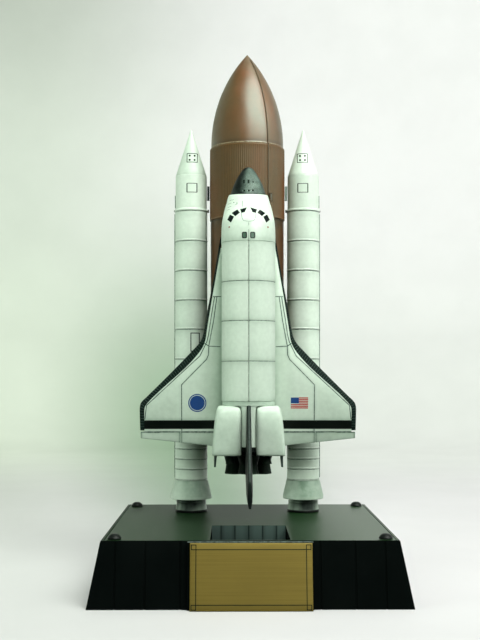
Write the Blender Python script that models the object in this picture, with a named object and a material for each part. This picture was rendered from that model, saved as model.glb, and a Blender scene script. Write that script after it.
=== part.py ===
"""Display model of a space shuttle launch stack on its plinth, at 1:200.

Everything is written in millimetres and turned into metres as each mesh is made. The stack's own frame
has its origin on the floor under the tank's axis, +Z up the tank, and -Y towards the orbiter and the
plinth's plate. One empty carries that frame, so that the part's origin is the middle of its bounding
box, on the floor.
"""
import math

import bmesh
import bpy
from mathutils import Vector

MM = 0.001
GAP = 0.25                      # between pieces that touch on the real model

# Plinth
BASE_TOP_Z = 30.9
BASE_CENTRE_Y = -36.2
BASE_HALF_X = 69.9              # at the top
BASE_HALF_Y = 66.3
BASE_FLARE = 6.0                # how far each wall leans out by its foot
BASE_WALL = 2.0
GROOVE_HALF = 0.45
GROOVE_SLOPE = 0.15             # width of each sloping side
GROOVE_DEPTH = 0.45
GROOVE_PITCH = 14.0
GROOVES_PER_SIDE = 10
FRONT_GROOVE_X = (-62.9, -48.9, -32.6, 32.6, 48.9, 62.9)
SEAM_INSET = 1.5                # lines along the top's two sides
SEAM_HALF = 0.25
SEAM_DEPTH = 0.4
SEAM_END = 0.8                  # left whole at each end
PIT_HALF_X = 18.9
PIT_BACK_Y = -54.7
PIT_FRONT_Y = -100.2
PIT_DEPTH = 10.0
PIT_WALL = 1.5
PIT_FRONT_WALL = 1.2
PIT_RIB_X = (-14.1, -7.1, 0.0, 7.1, 14.1)
PIT_RIB_HALF = 0.4
PIT_RIB_DEPTH = 0.6
BOSS_HALF_X = 29.2
BOSS_PROUD = 2.5
BOSS_EDGE = 0.3                 # between the boss and the wall's top and foot
PLATE_X = 0.3
PLATE_HALF_X = 28.3
PLATE_THICK = 1.2
PLATE_LOW_Z = 0.35
PLATE_HIGH_Z = 30.3
STUD_X = 63.9
STUD_Y = {"front": -97.2, "back": 21.5}
STUD_PROFILE = ((0, 0), (3.3, 0), (3.3, 0.45), (2.9, 0.9), (2.4, 1.55), (1.5, 2.1), (0, 2.35))

# Tank
TANK_R = 21.0
TANK_NOSE_R = 20.25
BARREL_R = 20.55
TANK_TIP_Z = 287.9
OGIVE_LOW_Z = 236.0             # the nose is straight below this
RING_HIGH_Z = 234.2             # nose to intertank
RING_LOW_Z = 193.8              # intertank to barrel
BARREL_LOW_Z = 78.0
TANK_LOW_Z = 63.0
RIB_COUNT = 64
RIB_DEPTH = 0.25
TRAY_TURN = math.radians(32.6)  # round the tank from its front, towards +X
TRAY_STOPS = (284.5, 280.0, 272.0, 263.0, 254.0, 245.0, OGIVE_LOW_Z, RING_HIGH_Z, 208.5)
TRAY_HALF = 0.4
TRAY_THICK = 0.7
FEED_X = 12.5
FEED_OUT = TANK_R + 1.35        # its axis from the tank's
FEED_R = 1.05
FEED_Z = (84.0, 207.0)

# Boosters
BOOSTER_X = 31.5
CASE_R = 9.05
SKIRT_R = 8.75
CONE_TIP_Z = 245.3
CONE_LOW_Z = 219.4
CASE_HIGH_Z = 201.0
CASE_LOW_Z = 49.0
CASE_RING_Z = (55.8, 61.4, 67.1, 100.9, 117.2, 133.7, 149.9, 166.4, 182.9)
RING_PROUD = 0.16
COLLAR_PROUD = 0.45
AFT_SKIRT_R = 11.4
AFT_SKIRT_LOW_Z = 38.3
NOZZLE_TOP_R = 8.2
NOZZLE_FOOT_R = 8.95
TUNNEL_HALF = 0.8
TUNNEL_THICK = 0.35
TUNNEL_HIGH_Z = 198.0
MOUNT_HALF_Y = 1.3
MOUNT_Z = (205.8, 213.6)
BOOSTER_STRUT_Z = 90.0
BOOSTER_STRUT_R = 1.1

# Orbiter: its section is a round top on a deep box
CENTRE_Y = -41.4                # centre of the round top
BELLY_Y = -25.8
BELLY_CORNER_R = 3.0
ROOF_R = 14.2
BODY_HALF_X = 13.6
BAY_R = 11.7
BAY_LOW_Z = 94.2
BAY_HIGH_Z = 176.7
NOSE_TIP = (0.0, -34.8, 217.9)
CAP_LOW_Z = 202.8
AFT_LOW_Z = 68.5
COLLAR_LOW_Z = 91.95            # the aft fuselage keeps its round top above this
SHOULDER_Y = -44.5              # where the pods sit
DOOR_THICK = 1.25
DOOR_SPLIT = 0.15               # half the line between the doors
HINGE_RISE = math.radians(14.0)
HINGE_R = 14.0
BEAD_R = 0.4
HINGE_X = HINGE_R * math.cos(HINGE_RISE)
HINGE_Y = CENTRE_Y - HINGE_R * math.sin(HINGE_RISE)
SILL_Y = HINGE_Y + 0.65
FLAP_HALF_X = 11.2
FLAP_LOW_Z = 59.5
FLAP_THICK = (2.2, 0.7)         # at its root and at its edge

# Fin, each pair of heights at its root and at its tip
RIDGE_HALF_X = 3.4              # ridge between the pods, which carries the fin
RIDGE_Y = -55.4
FIN_ROOT_Y = RIDGE_Y - GAP
FIN_TIP_Y = -91.0
FIN_LEAD_Z = (92.3, 56.9)
RUDDER_LINE_Z = (71.5, 50.0)
RUDDER_TRAIL_Z = (61.8, 44.0)
FIN_HALF = (1.76, 1.3)          # half the blunt trailing edge
FIN_NOSE = 0.42                 # of that half, just behind the leading edge
FIN_WAIST = 0.8                 # of that half, at the rudder's line

# Wing
WING_ROOT_X = BODY_HALF_X + GAP
WING_TIP_X = 57.9
HINGE_LINE_Z = 77.3
DIHEDRAL = math.radians(3.5)
ROOT_THICK = 6.5
TIP_THICK = 1.6
EDGE_THICK = 0.35
TRAIL_ROOT_Z = 69.0
TRAIL_SWEEP = 0.112             # how much the trailing edge rises towards the tip
ELEVON_SPLIT_X = 36.0
ELEVON_TIP_X = 57.4

# Tail
POD_NOZZLE_PLACE = (9.4, -52.6)
THRUSTER_Y = (-49.6, -46.6)
THRUSTER_OUTER_X = 17.9
THRUSTER_LOW_Z = 60.2
ENGINE_PLACES = {"left": (-7.0, -34.0, 55.5), "right": (7.0, -34.0, 55.5), "upper": (0.0, -46.4, 56.6)}
ENGINE_R = 5.45
ENGINE_NECK_R = 4.65

# Struts between tank and orbiter
BIPOD_FOOT = (6.2, -20.9, 188.0)
BIPOD_HEAD = (1.2, -23.6, 194.0)
BIPOD_R = 0.55
AFT_STRUT_X = 8.4
AFT_STRUT_Y = -19.7
AFT_STRUT_Z = 84.0
AFT_STRUT_R = 1.3

COLOURS = {
    "black_base": ((0.012, 0.014, 0.014), 0.45, 0.0),
    "gold_plate": ((0.42, 0.33, 0.12), 0.35, 0.9),
    "tank_brown": ((0.16, 0.075, 0.04), 0.42, 0.0),
    "white_paint": ((0.72, 0.78, 0.72), 0.5, 0.0),
    "black_paint": ((0.012, 0.016, 0.015), 0.4, 0.0),
    "grey_cap": ((0.12, 0.16, 0.14), 0.45, 0.0),
    "nozzle_grey": ((0.14, 0.16, 0.16), 0.35, 0.6),
}


def clear_scene():
    """Remove what the scene holds."""
    for thing in list(bpy.data.objects):
        bpy.data.objects.remove(thing, do_unlink=True)


def material(name):
    """The named material, made the first time that it is asked for."""
    found = bpy.data.materials.get(name)
    if found:
        return found
    colour, roughness, metallic = COLOURS[name]
    made = bpy.data.materials.new(name)
    made.use_nodes = True
    shader = made.node_tree.nodes["Principled BSDF"]
    shader.inputs["Base Color"].default_value = (*colour, 1.0)
    shader.inputs["Roughness"].default_value = roughness
    shader.inputs["Metallic"].default_value = metallic
    return made


def skin(rings):
    """A closed mesh through rings of points in mm, capped at both ends; one point alone is a pole."""
    work = bmesh.new()
    loops = [[work.verts.new(Vector(point) * MM) for point in ring] for ring in rings]
    for low, high in zip(loops, loops[1:]):
        count = max(len(low), len(high))
        for i in range(count):
            j = (i + 1) % count
            corners = (low[i % len(low)], low[j % len(low)], high[j % len(high)], high[i % len(high)])
            corners = list(dict.fromkeys(corners))
            work.faces.new(corners)
    for end in (loops[0], loops[-1]):
        if len(end) > 2:
            work.faces.new(end)
    bmesh.ops.recalc_face_normals(work, faces=work.faces)
    mesh = bpy.data.meshes.new("mesh")
    work.to_mesh(mesh)
    work.free()
    return mesh


def place(name, mesh, finish, parent, at=(0.0, 0.0, 0.0), sharp=35.0):
    """Put a mesh into the scene as a named piece."""
    piece = bpy.data.objects.new(name, mesh)
    bpy.context.collection.objects.link(piece)
    piece.parent = parent
    piece.location = Vector(at) * MM
    mesh.name = name
    mesh.materials.append(material(finish))
    mesh.shade_smooth()
    mesh.set_sharp_from_angle(angle=math.radians(sharp))
    return piece


def prism(outline, low_z, high_z):
    """An outline of (x, y) points, drawn up from one height to another."""
    return skin([[(x, y, z) for x, y in outline] for z in (low_z, high_z)])


def box(low, high):
    """A box between two corners."""
    outline = [(low[0], low[1]), (high[0], low[1]), (high[0], high[1]), (low[0], high[1])]
    return prism(outline, low[2], high[2])


def turned(profile, segments):
    """A solid turned about Z from (radius, height) points; a radius of 0 is a pole."""
    rings = []
    for radius, z in profile:
        count = segments if radius > 0 else 1
        turns = [2 * math.pi * i / count for i in range(count)]
        rings.append([(radius * math.cos(t), radius * math.sin(t), z) for t in turns])
    return skin(rings)


def rod(start, end, radius, segments=10):
    """A straight round bar from one point to another."""
    start, end = Vector(start), Vector(end)
    along = (end - start).normalized()
    side = along.orthogonal().normalized()
    other = along.cross(side)
    turns = [2 * math.pi * i / segments for i in range(segments)]
    rings = [[centre + radius * (math.cos(t) * side + math.sin(t) * other) for t in turns]
             for centre in (start, end)]
    return skin(rings)


def boolean(piece, mesh, operation, parent):
    """Join a hidden helper solid to a piece, or cut it out of the piece."""
    helper = bpy.data.objects.new(piece.name + "_helper", mesh)
    bpy.context.collection.objects.link(helper)
    helper.parent = parent
    helper.hide_render = True
    helper.display_type = "WIRE"
    modifier = piece.modifiers.new("shape", "BOOLEAN")
    modifier.object = helper
    modifier.operation = operation
    modifier.solver = "EXACT"


def between(pair, share):
    """The value a share of the way from a pair's first to its second."""
    return pair[0] + (pair[1] - pair[0]) * share


def mirrored(ring, side):
    """A ring moved to the left or right side."""
    return [(side * x, y, z) for x, y, z in ring]


def front_y(z, proud):
    """Depth of the plinth's leaning front wall at a height, moved out by some millimetres."""
    lean = BASE_FLARE * (BASE_TOP_Z - z) / BASE_TOP_Z
    return BASE_CENTRE_Y - BASE_HALF_Y - lean - proud


def front_slab(half_x, middle_x, low_z, high_z, inner, outer):
    """A slab parallel to the plinth's front wall, between two distances in front of it."""
    rings = []
    for x in (middle_x - half_x, middle_x + half_x):
        ring = [(x, front_y(low_z, inner), low_z), (x, front_y(low_z, outer), low_z),
                (x, front_y(high_z, outer), high_z), (x, front_y(high_z, inner), high_z)]
        rings.append(ring)
    return skin(rings)


def groove_places(side):
    """Where the grooves cross one wall, from its middle; the front's middle is under the boss."""
    if side == "front":
        return FRONT_GROOVE_X
    first = -GROOVE_PITCH * (GROOVES_PER_SIDE - 1) / 2
    return [first + GROOVE_PITCH * i for i in range(GROOVES_PER_SIDE)]


def base_outline(half_x, half_y, groove_depth, z):
    """The plinth's outline at a height, counter-clockwise, with or without its grooves' depth."""
    points = []
    sides = (("front", (1, 0), (0, -1), half_x, half_y), ("right", (0, 1), (1, 0), half_y, half_x),
             ("back", (-1, 0), (0, 1), half_x, half_y), ("left", (0, -1), (-1, 0), half_y, half_x))
    for side, along, out, half_length, reach in sides:
        steps = [(-half_length, 0.0)]
        for middle in groove_places(side):
            floor = GROOVE_HALF - GROOVE_SLOPE
            steps += [(middle - GROOVE_HALF, 0.0), (middle - floor, groove_depth),
                      (middle + floor, groove_depth), (middle + GROOVE_HALF, 0.0)]
        for step, depth in steps:
            x = along[0] * step + out[0] * (reach - depth)
            y = along[1] * step + out[1] * (reach - depth) + BASE_CENTRE_Y
            points.append((x, y, z))
    return points


def pit_outline():
    """The pit seen from above, with the ribs' slots in its back wall."""
    floor = PIT_RIB_HALF - 0.1
    points = [(-PIT_HALF_X, PIT_BACK_Y)]
    for middle in PIT_RIB_X:
        points += [(middle - PIT_RIB_HALF, PIT_BACK_Y), (middle - floor, PIT_BACK_Y + PIT_RIB_DEPTH),
                   (middle + floor, PIT_BACK_Y + PIT_RIB_DEPTH), (middle + PIT_RIB_HALF, PIT_BACK_Y)]
    return points + [(PIT_HALF_X, PIT_BACK_Y), (PIT_HALF_X, PIT_FRONT_Y), (-PIT_HALF_X, PIT_FRONT_Y)]


def build_plinth(stack):
    """Hollow tub with its recess and boss, four studs and the blank plate."""
    inner_x, inner_y = BASE_HALF_X - BASE_WALL, BASE_HALF_Y - BASE_WALL
    shell = skin([
        base_outline(inner_x, inner_y, 0.0, BASE_TOP_Z - BASE_WALL),
        base_outline(inner_x + BASE_FLARE, inner_y + BASE_FLARE, 0.0, 0.0),
        base_outline(BASE_HALF_X + BASE_FLARE, BASE_HALF_Y + BASE_FLARE, GROOVE_DEPTH, 0.0),
        base_outline(BASE_HALF_X, BASE_HALF_Y, GROOVE_DEPTH, BASE_TOP_Z),
    ])
    piece = place("base_shell", shell, "black_base", stack)
    floor_z = BASE_TOP_Z - PIT_DEPTH
    housing = box((-PIT_HALF_X - PIT_WALL, PIT_FRONT_Y - PIT_FRONT_WALL, floor_z - PIT_WALL),
                  (PIT_HALF_X + PIT_WALL, PIT_BACK_Y + PIT_WALL, BASE_TOP_Z - BASE_WALL / 4))
    boolean(piece, housing, "UNION", stack)
    boss = front_slab(BOSS_HALF_X, 0.0, BOSS_EDGE, BASE_TOP_Z - BOSS_EDGE, -BASE_WALL / 2, BOSS_PROUD)
    boolean(piece, boss, "UNION", stack)
    boolean(piece, prism(pit_outline(), floor_z, BASE_TOP_Z + 1.0), "DIFFERENCE", stack)
    reach_y = BASE_HALF_Y - SEAM_END
    for side in (-1, 1):
        middle = side * (BASE_HALF_X - SEAM_INSET)
        seam = box((middle - SEAM_HALF, BASE_CENTRE_Y - reach_y, BASE_TOP_Z - SEAM_DEPTH),
                   (middle + SEAM_HALF, BASE_CENTRE_Y + reach_y, BASE_TOP_Z + 1.0))
        boolean(piece, seam, "DIFFERENCE", stack)

    plate = front_slab(PLATE_HALF_X, PLATE_X, PLATE_LOW_Z, PLATE_HIGH_Z, BOSS_PROUD + GAP,
                       BOSS_PROUD + GAP + PLATE_THICK)
    place("name_plate", plate, "gold_plate", stack)

    dome = turned(STUD_PROFILE, 20)
    for depth_name, y in STUD_Y.items():
        for side_name, side in (("left", -1), ("right", 1)):
            at = (side * STUD_X, y, BASE_TOP_Z + GAP)
            place(f"stud_{depth_name}_{side_name}", dome.copy(), "black_base", stack, at)


def ogive_radius(z):
    """Radius of the tank's nose at a height: an arc that meets the ring below it straight on."""
    length = TANK_TIP_Z - OGIVE_LOW_Z
    sweep = (TANK_NOSE_R ** 2 + length ** 2) / (2 * TANK_NOSE_R)
    return math.sqrt(sweep ** 2 - (z - OGIVE_LOW_Z) ** 2) + TANK_NOSE_R - sweep


def build_tank(stack):
    """Nose, ribbed middle, barrel with its dome, cable tray and feedline."""
    length = TANK_TIP_Z - 0.8 - OGIVE_LOW_Z
    heights = [OGIVE_LOW_Z + length * math.sin(0.5 * math.pi * i / 11) for i in range(12)]
    profile = [(0, RING_HIGH_Z), (TANK_NOSE_R, RING_HIGH_Z)]
    profile += [(ogive_radius(z), z) for z in heights] + [(0, TANK_TIP_Z)]
    place("tank_nose", turned(profile, 48), "tank_brown", stack)

    outline = []
    for i in range(RIB_COUNT):
        middle = 2 * math.pi * i / RIB_COUNT
        quarter = math.pi / RIB_COUNT / 2
        for turn, radius in ((-1.2, TANK_R - RIB_DEPTH), (-0.8, TANK_R), (0.8, TANK_R),
                             (1.2, TANK_R - RIB_DEPTH)):
            angle = middle + turn * quarter
            outline.append((radius * math.cos(angle), radius * math.sin(angle)))
    place("tank_intertank", prism(outline, RING_LOW_Z + GAP, RING_HIGH_Z - GAP), "tank_brown", stack)

    dome_deep = BARREL_LOW_Z - TANK_LOW_Z
    profile = [(0, TANK_LOW_Z)]
    for i in range(1, 9):
        turn = 0.5 * math.pi * i / 8
        profile.append((BARREL_R * math.sin(turn), BARREL_LOW_Z - dome_deep * math.cos(turn)))
    profile += [(BARREL_R, RING_LOW_Z), (0, RING_LOW_Z)]
    place("tank_barrel", turned(profile, 48), "tank_brown", stack)

    out = Vector((math.sin(TRAY_TURN), -math.cos(TRAY_TURN), 0))
    across = Vector((math.cos(TRAY_TURN), math.sin(TRAY_TURN), 0))
    rings = []
    for z in TRAY_STOPS:
        inner = (ogive_radius(z) if z >= OGIVE_LOW_Z else TANK_R) + GAP
        outer = inner + TRAY_THICK
        rings.append([out * r + across * w + Vector((0, 0, z))
                      for r, w in ((inner, -TRAY_HALF), (inner, TRAY_HALF), (outer, TRAY_HALF),
                                   (outer, -TRAY_HALF))])
    place("cable_tray", skin(rings), "black_paint", stack)

    feed_y = -math.sqrt(FEED_OUT ** 2 - FEED_X ** 2)
    feed_low, feed_high = [(FEED_X, feed_y, z) for z in FEED_Z]
    place("feedline", rod(feed_low, feed_high, FEED_R, 12), "tank_brown", stack)


def case_profile():
    """Booster case from its foot up, with a low band at each joint and a collar at its top."""
    profile = [(0, CASE_LOW_Z), (CASE_R, CASE_LOW_Z)]
    ring_r, collar_r = CASE_R + RING_PROUD, CASE_R + COLLAR_PROUD
    for z in CASE_RING_Z:
        profile += [(CASE_R, z - 0.5), (ring_r, z - 0.3), (ring_r, z + 0.3), (CASE_R, z + 0.5)]
    high = CASE_HIGH_Z
    return profile + [(CASE_R, high - 2.1), (collar_r, high - 1.7), (collar_r, high - 0.3),
                      (CASE_R, high), (0, high)]


def booster_profiles():
    """Every turned piece of a booster as (radius, height) points."""
    skirt_low, nozzle_high = AFT_SKIRT_LOW_Z, AFT_SKIRT_LOW_Z + 1.0 - GAP
    foot_z = BASE_TOP_Z + GAP
    return {
        "cone": [(0, CONE_LOW_Z + GAP), (SKIRT_R - 0.3, CONE_LOW_Z + GAP), (1.0, CONE_TIP_Z - 1.2),
                 (0.6, CONE_TIP_Z - 0.3), (0, CONE_TIP_Z)],
        "skirt_forward": [(0, CASE_HIGH_Z + GAP), (SKIRT_R, CASE_HIGH_Z + GAP), (SKIRT_R, CONE_LOW_Z - 1.0),
                          (SKIRT_R - 0.3, CONE_LOW_Z), (0, CONE_LOW_Z)],
        "case": case_profile(),
        "skirt_aft": [(0, skirt_low + 1.0), (AFT_SKIRT_R - 1.1, skirt_low + 1.0),
                      (AFT_SKIRT_R - 0.5, skirt_low), (AFT_SKIRT_R, skirt_low + 0.4),
                      (AFT_SKIRT_R - 0.05, skirt_low + 2.0), (CASE_R + 0.35, CASE_LOW_Z - GAP),
                      (0, CASE_LOW_Z - GAP)],
        "nozzle": [(0, nozzle_high), (NOZZLE_TOP_R, nozzle_high), (NOZZLE_TOP_R + 0.1, 36.4),
                   (NOZZLE_FOOT_R, 32.0), (NOZZLE_FOOT_R, foot_z), (NOZZLE_FOOT_R - 0.7, foot_z),
                   (NOZZLE_FOOT_R - 0.9, 32.0), (NOZZLE_TOP_R - 1.2, 36.5), (0, 36.9)],
    }


def build_boosters(stack):
    """Both boosters, each about its own axis, with the mounts that tie them to the tank."""
    shapes = booster_profiles()
    tunnel_in = CASE_R + RING_PROUD + 0.1
    tunnel_out = tunnel_in + TUNNEL_THICK
    for side_name, side in (("left", -1), ("right", 1)):
        at = (side * BOOSTER_X, 0.0, 0.0)
        for shape, profile in shapes.items():
            finish = "nozzle_grey" if shape == "nozzle" else "white_paint"
            place(f"booster_{shape}_{side_name}", turned(profile, 28), finish, stack, at, sharp=25.0)
        outline = [(side * x, y) for x, y in ((tunnel_in, -TUNNEL_HALF), (tunnel_out, -TUNNEL_HALF),
                                              (tunnel_out, TUNNEL_HALF), (tunnel_in, TUNNEL_HALF))]
        place(f"booster_tunnel_{side_name}", prism(outline, CASE_LOW_Z + 1.0, TUNNEL_HIGH_Z),
              "white_paint", stack, at)
        ends = sorted((side * (TANK_R + GAP), side * (BOOSTER_X - SKIRT_R - GAP)))
        block = box((ends[0], -MOUNT_HALF_Y, MOUNT_Z[0]), (ends[1], MOUNT_HALF_Y, MOUNT_Z[1]))
        place(f"booster_mount_forward_{side_name}", block, "black_paint", stack)
        strut = rod((side * (BARREL_R + GAP), 0.0, BOOSTER_STRUT_Z),
                    (side * (BOOSTER_X - CASE_R - GAP), 0.0, BOOSTER_STRUT_Z), BOOSTER_STRUT_R, 12)
        place(f"booster_strut_aft_{side_name}", strut, "tank_brown", stack)


def body_ring(z, half_x, centre_y, up, down, square):
    """One section of the orbiter: a half ellipse on top, and below it a box that `square` makes fuller."""
    points = []
    for i in range(32):
        turn = 2 * math.pi * i / 32
        c, s = math.cos(turn), math.sin(turn)
        if s >= 0:
            points.append((half_x * c, centre_y - up * s, z))
        else:
            x = half_x * math.copysign(abs(c) ** square, c)
            points.append((x, centre_y + down * abs(s) ** square, z))
    return points


# Height, half width, depth of the widest point, rise above it, drop below it, squareness of the drop
CAP_SECTIONS = (
    (217.2, 2.1, -34.8, 1.9, 1.8, 1.0),
    (215.4, 3.7, -34.8, 3.4, 3.1, 1.0),
    (212.6, 5.45, -34.9, 5.1, 4.7, 0.95),
    (208.6, 7.5, -35.2, 7.0, 6.5, 0.85),
    (CAP_LOW_Z + GAP, 9.3, -35.8, 8.9, 8.3, 0.8),
)
FORWARD_SECTIONS = (
    (CAP_LOW_Z, 9.9, -35.8, 9.2, 8.3, 0.8),
    (CAP_LOW_Z - 0.6, 10.4, -36.0, 9.5, 8.7, 0.75),
    (198.3, 11.5, -36.8, 10.2, 10.0, 0.7),
    (195.6, 12.3, -37.4, 11.0, 10.9, 0.65),
    (192.0, 13.1, -38.4, 12.6, 12.3, 0.6),
    (188.0, 13.8, -39.8, 13.6, 13.9, 0.5),
    (183.0, 14.1, -41.0, 14.0, 15.2, 0.45),
    (BAY_HIGH_Z + GAP, ROOF_R, CENTRE_Y, ROOF_R, BELLY_Y - CENTRE_Y, 0.4),
)


def corner_arc(centre_x, centre_y, radius, start, end, steps):
    """Points along an arc, from one angle to another in degrees."""
    turns = [math.radians(start + (end - start) * i / steps) for i in range(steps + 1)]
    return [(centre_x + radius * math.cos(t), centre_y + radius * math.sin(t)) for t in turns]


def both_sides(right):
    """A whole outline from its right half, which runs from the middle line round to it again."""
    return right + [(-x, y) for x, y in reversed(right) if x > 1e-6]


def belly_half():
    """Right half of the flat belly with its round corner."""
    radius = BELLY_CORNER_R
    return [(0.0, BELLY_Y)] + corner_arc(BODY_HALF_X - radius, BELLY_Y - radius, radius, 90, 0, 5)


def aft_outlines():
    """Two outlines of the aft fuselage with matching points: shoulders with a ridge, and a round top."""
    across = [BODY_HALF_X - (BODY_HALF_X - RIDGE_HALF_X - 0.2) * i / 7 for i in range(8)]
    shoulder = [(x, SHOULDER_Y) for x in across[:-1]] + [(RIDGE_HALF_X, SHOULDER_Y)]
    shoulder += [(RIDGE_HALF_X, RIDGE_Y + 1.4), (RIDGE_HALF_X - 0.8, RIDGE_Y + 0.4), (0.0, RIDGE_Y)]
    across += [RIDGE_HALF_X - 0.2, RIDGE_HALF_X - 1.2, 0.0]
    roof = [(x, CENTRE_Y - math.sqrt(ROOF_R ** 2 - x ** 2)) for x in across]
    return both_sides(belly_half() + shoulder), both_sides(belly_half() + roof)


def build_fuselage(stack):
    """Nose cap, forward fuselage, hollow middle and the aft fuselage under the pods."""
    cap = [body_ring(*row) for row in CAP_SECTIONS]
    place("nose_cap", skin([[NOSE_TIP]] + cap), "grey_cap", stack)
    place("forward_fuselage", skin([body_ring(*row) for row in FORWARD_SECTIONS]), "white_paint", stack)

    sill_in = math.sqrt(BAY_R ** 2 - (CENTRE_Y - SILL_Y) ** 2)
    first = math.degrees(math.atan2(SILL_Y - CENTRE_Y, sill_in))
    trough = corner_arc(0.0, CENTRE_Y, BAY_R, first, 90, 12)
    sill = [(BODY_HALF_X, SILL_Y + 0.9), (BODY_HALF_X - 0.7, SILL_Y)]
    outline = both_sides(belly_half() + sill + trough)
    place("mid_fuselage", prism(outline, BAY_LOW_Z, BAY_HIGH_Z), "white_paint", stack)

    shoulder, roof = aft_outlines()
    levels = ((shoulder, AFT_LOW_Z), (shoulder, COLLAR_LOW_Z), (roof, COLLAR_LOW_Z + 0.05),
              (roof, BAY_LOW_Z - GAP))
    place("aft_fuselage", skin([[(x, y, z) for x, y in outline] for outline, z in levels]), "white_paint",
          stack)

    high = AFT_LOW_Z - GAP
    flap = skin([[(x, BELLY_Y, high), (x, BELLY_Y - FLAP_THICK[0], high),
                  (x, BELLY_Y - 0.2 - FLAP_THICK[1], FLAP_LOW_Z), (x, BELLY_Y - 0.2, FLAP_LOW_Z)]
                 for x in (-FLAP_HALF_X, FLAP_HALF_X)])
    place("body_flap", flap, "black_paint", stack)


def build_doors(stack):
    """Two curved doors whose lower edge is a round bead on the hinge's axis."""
    low_z, high_z = BAY_LOW_Z + GAP, BAY_HIGH_Z - GAP
    top = 90 - math.degrees(DOOR_SPLIT / ROOF_R)
    start = math.degrees(HINGE_RISE)
    outer = corner_arc(0.0, 0.0, ROOF_R, top, start + 1.8, 14)
    bead = corner_arc(HINGE_X, CENTRE_Y - HINGE_Y, BEAD_R, start + 40, start - 135, 4)
    inner = corner_arc(0.0, 0.0, ROOF_R - DOOR_THICK, start + 0.5, top, 14)
    section = outer + bead + inner
    for side_name, side in (("left", -1), ("right", 1)):
        outline = [(side * (x - HINGE_X), CENTRE_Y - up - HINGE_Y) for x, up in section]
        at = (side * HINGE_X, HINGE_Y, 0.0)
        place(f"bay_door_{side_name}", prism(outline, low_z, high_z), "white_paint", stack, at)


# Along the leading edge from the glove to the wing tip: outer x, outer z, inner x, inner z
EDGE_STATIONS = (
    (15.7, 176.4, 14.6, 176.4),
    (16.95, 168.9, 15.8, 168.9),
    (18.6, 159.1, 17.4, 159.1),
    (20.3, 150.1, 19.0, 150.1),
    (21.7, 142.7, 20.2, 142.7),
    (23.4, 132.3, 21.9, 132.0),
    (24.5, 128.0, 22.6, 127.0),
    (26.2, 124.9, 23.7, 123.6),
    (30.2, 120.4, 28.0, 117.4),
    (54.5, 95.8, 52.3, 94.3),
    (56.3, 93.9, 54.6, 92.2),
    (57.5, 92.0, 55.8, 90.9),
    (57.9, 89.5, 56.0, 89.2),
    (57.6, 78.0, 56.0, 78.0),
)
PANEL_EXTRA_X = (38.0, 52.2, 54.5, 55.7)


def wing_floor(x):
    """Depth of the wing's flat lower side, which rises outwards with the dihedral."""
    return BELLY_Y - (x - WING_ROOT_X) * math.tan(DIHEDRAL)


def trailing_z(x):
    """Height of the elevons' trailing edge."""
    return TRAIL_ROOT_Z + (x - WING_ROOT_X) * TRAIL_SWEEP


def wing_rise(x, z):
    """Thickness of the wing at a place: fullest a third of the way back from its leading edge."""
    edge = edge_z(x, outer=True)
    share = max(0.0, min(1.0, (edge - z) / (edge - trailing_z(x))))
    form = 5 * (0.2969 * math.sqrt(share) - 0.126 * share - 0.3516 * share ** 2 + 0.2843 * share ** 3
                - 0.1036 * share ** 4)
    full = between((ROOT_THICK, TIP_THICK), (x - WING_ROOT_X) / (WING_TIP_X - WING_ROOT_X))
    return EDGE_THICK + 2 * form * (full - EDGE_THICK)


def edge_z(x, outer):
    """Height of the outer or inner line of the leading edge at a distance from the middle line."""
    first = 0 if outer else 2
    line = [(row[first], row[first + 1]) for row in EDGE_STATIONS[:-2]]
    if x <= line[0][0]:
        return line[0][1]
    for (x0, z0), (x1, z1) in zip(line, line[1:]):
        if x <= x1:
            return z0 + (z1 - z0) * (x - x0) / (x1 - x0)
    return line[-1][1]


def wing_section(x, high_z, low_z, steps):
    """A slice of the wing at one x between two heights: its upper side, then its lower side."""
    heights = [high_z + (low_z - high_z) * i / steps for i in range(steps + 1)]
    top = [(x, wing_floor(x) - wing_rise(x, z), z) for z in heights]
    bottom = [(x, wing_floor(x), z) for z in reversed(heights)]
    return top + bottom


def edge_section(outer_x, outer_z, inner_x, inner_z):
    """A slice of the leading edge: full behind, and blunt in front."""
    low = wing_floor(inner_x)
    high = low - wing_rise(min(inner_x, 55.0), inner_z)
    tip_low = wing_floor(outer_x) - EDGE_THICK
    tip_high = tip_low - 0.5
    middle_x, middle_z = (outer_x * 2 + inner_x) / 3, (outer_z * 2 + inner_z) / 3
    return [(inner_x, low, inner_z), (middle_x, between((low, tip_low), 0.2), middle_z),
            (outer_x, tip_low, outer_z), (outer_x, tip_high, outer_z),
            (middle_x, between((high, tip_high), 0.45), middle_z), (inner_x, high, inner_z)]


def build_wings(stack):
    """Wing panels, black leading edges and the fixed elevons."""
    panel_x = [WING_ROOT_X] + [row[2] - 0.1 for row in EDGE_STATIONS[1:-4]] + list(PANEL_EXTRA_X)
    elevons = (("inner", WING_ROOT_X + 0.4, ELEVON_SPLIT_X),
               ("outer", ELEVON_SPLIT_X + GAP * 2, ELEVON_TIP_X))
    for side_name, side in (("left", -1), ("right", 1)):
        rings = []
        for x in sorted(panel_x):
            high = edge_z(x, outer=False) - 1.2
            rings.append(mirrored(wing_section(x, high, HINGE_LINE_Z + GAP, 10), side))
        place(f"wing_panel_{side_name}", skin(rings), "white_paint", stack, sharp=50.0)

        rings = [mirrored(edge_section(*row), side) for row in EDGE_STATIONS]
        place(f"leading_edge_{side_name}", skin(rings), "black_paint", stack, sharp=50.0)

        for part, near_x, far_x in elevons:
            rings = [mirrored(wing_section(x, HINGE_LINE_Z - GAP, trailing_z(x), 3), side)
                     for x in (near_x, far_x)]
            place(f"elevon_{part}_{side_name}", skin(rings), "white_paint", stack)


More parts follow.
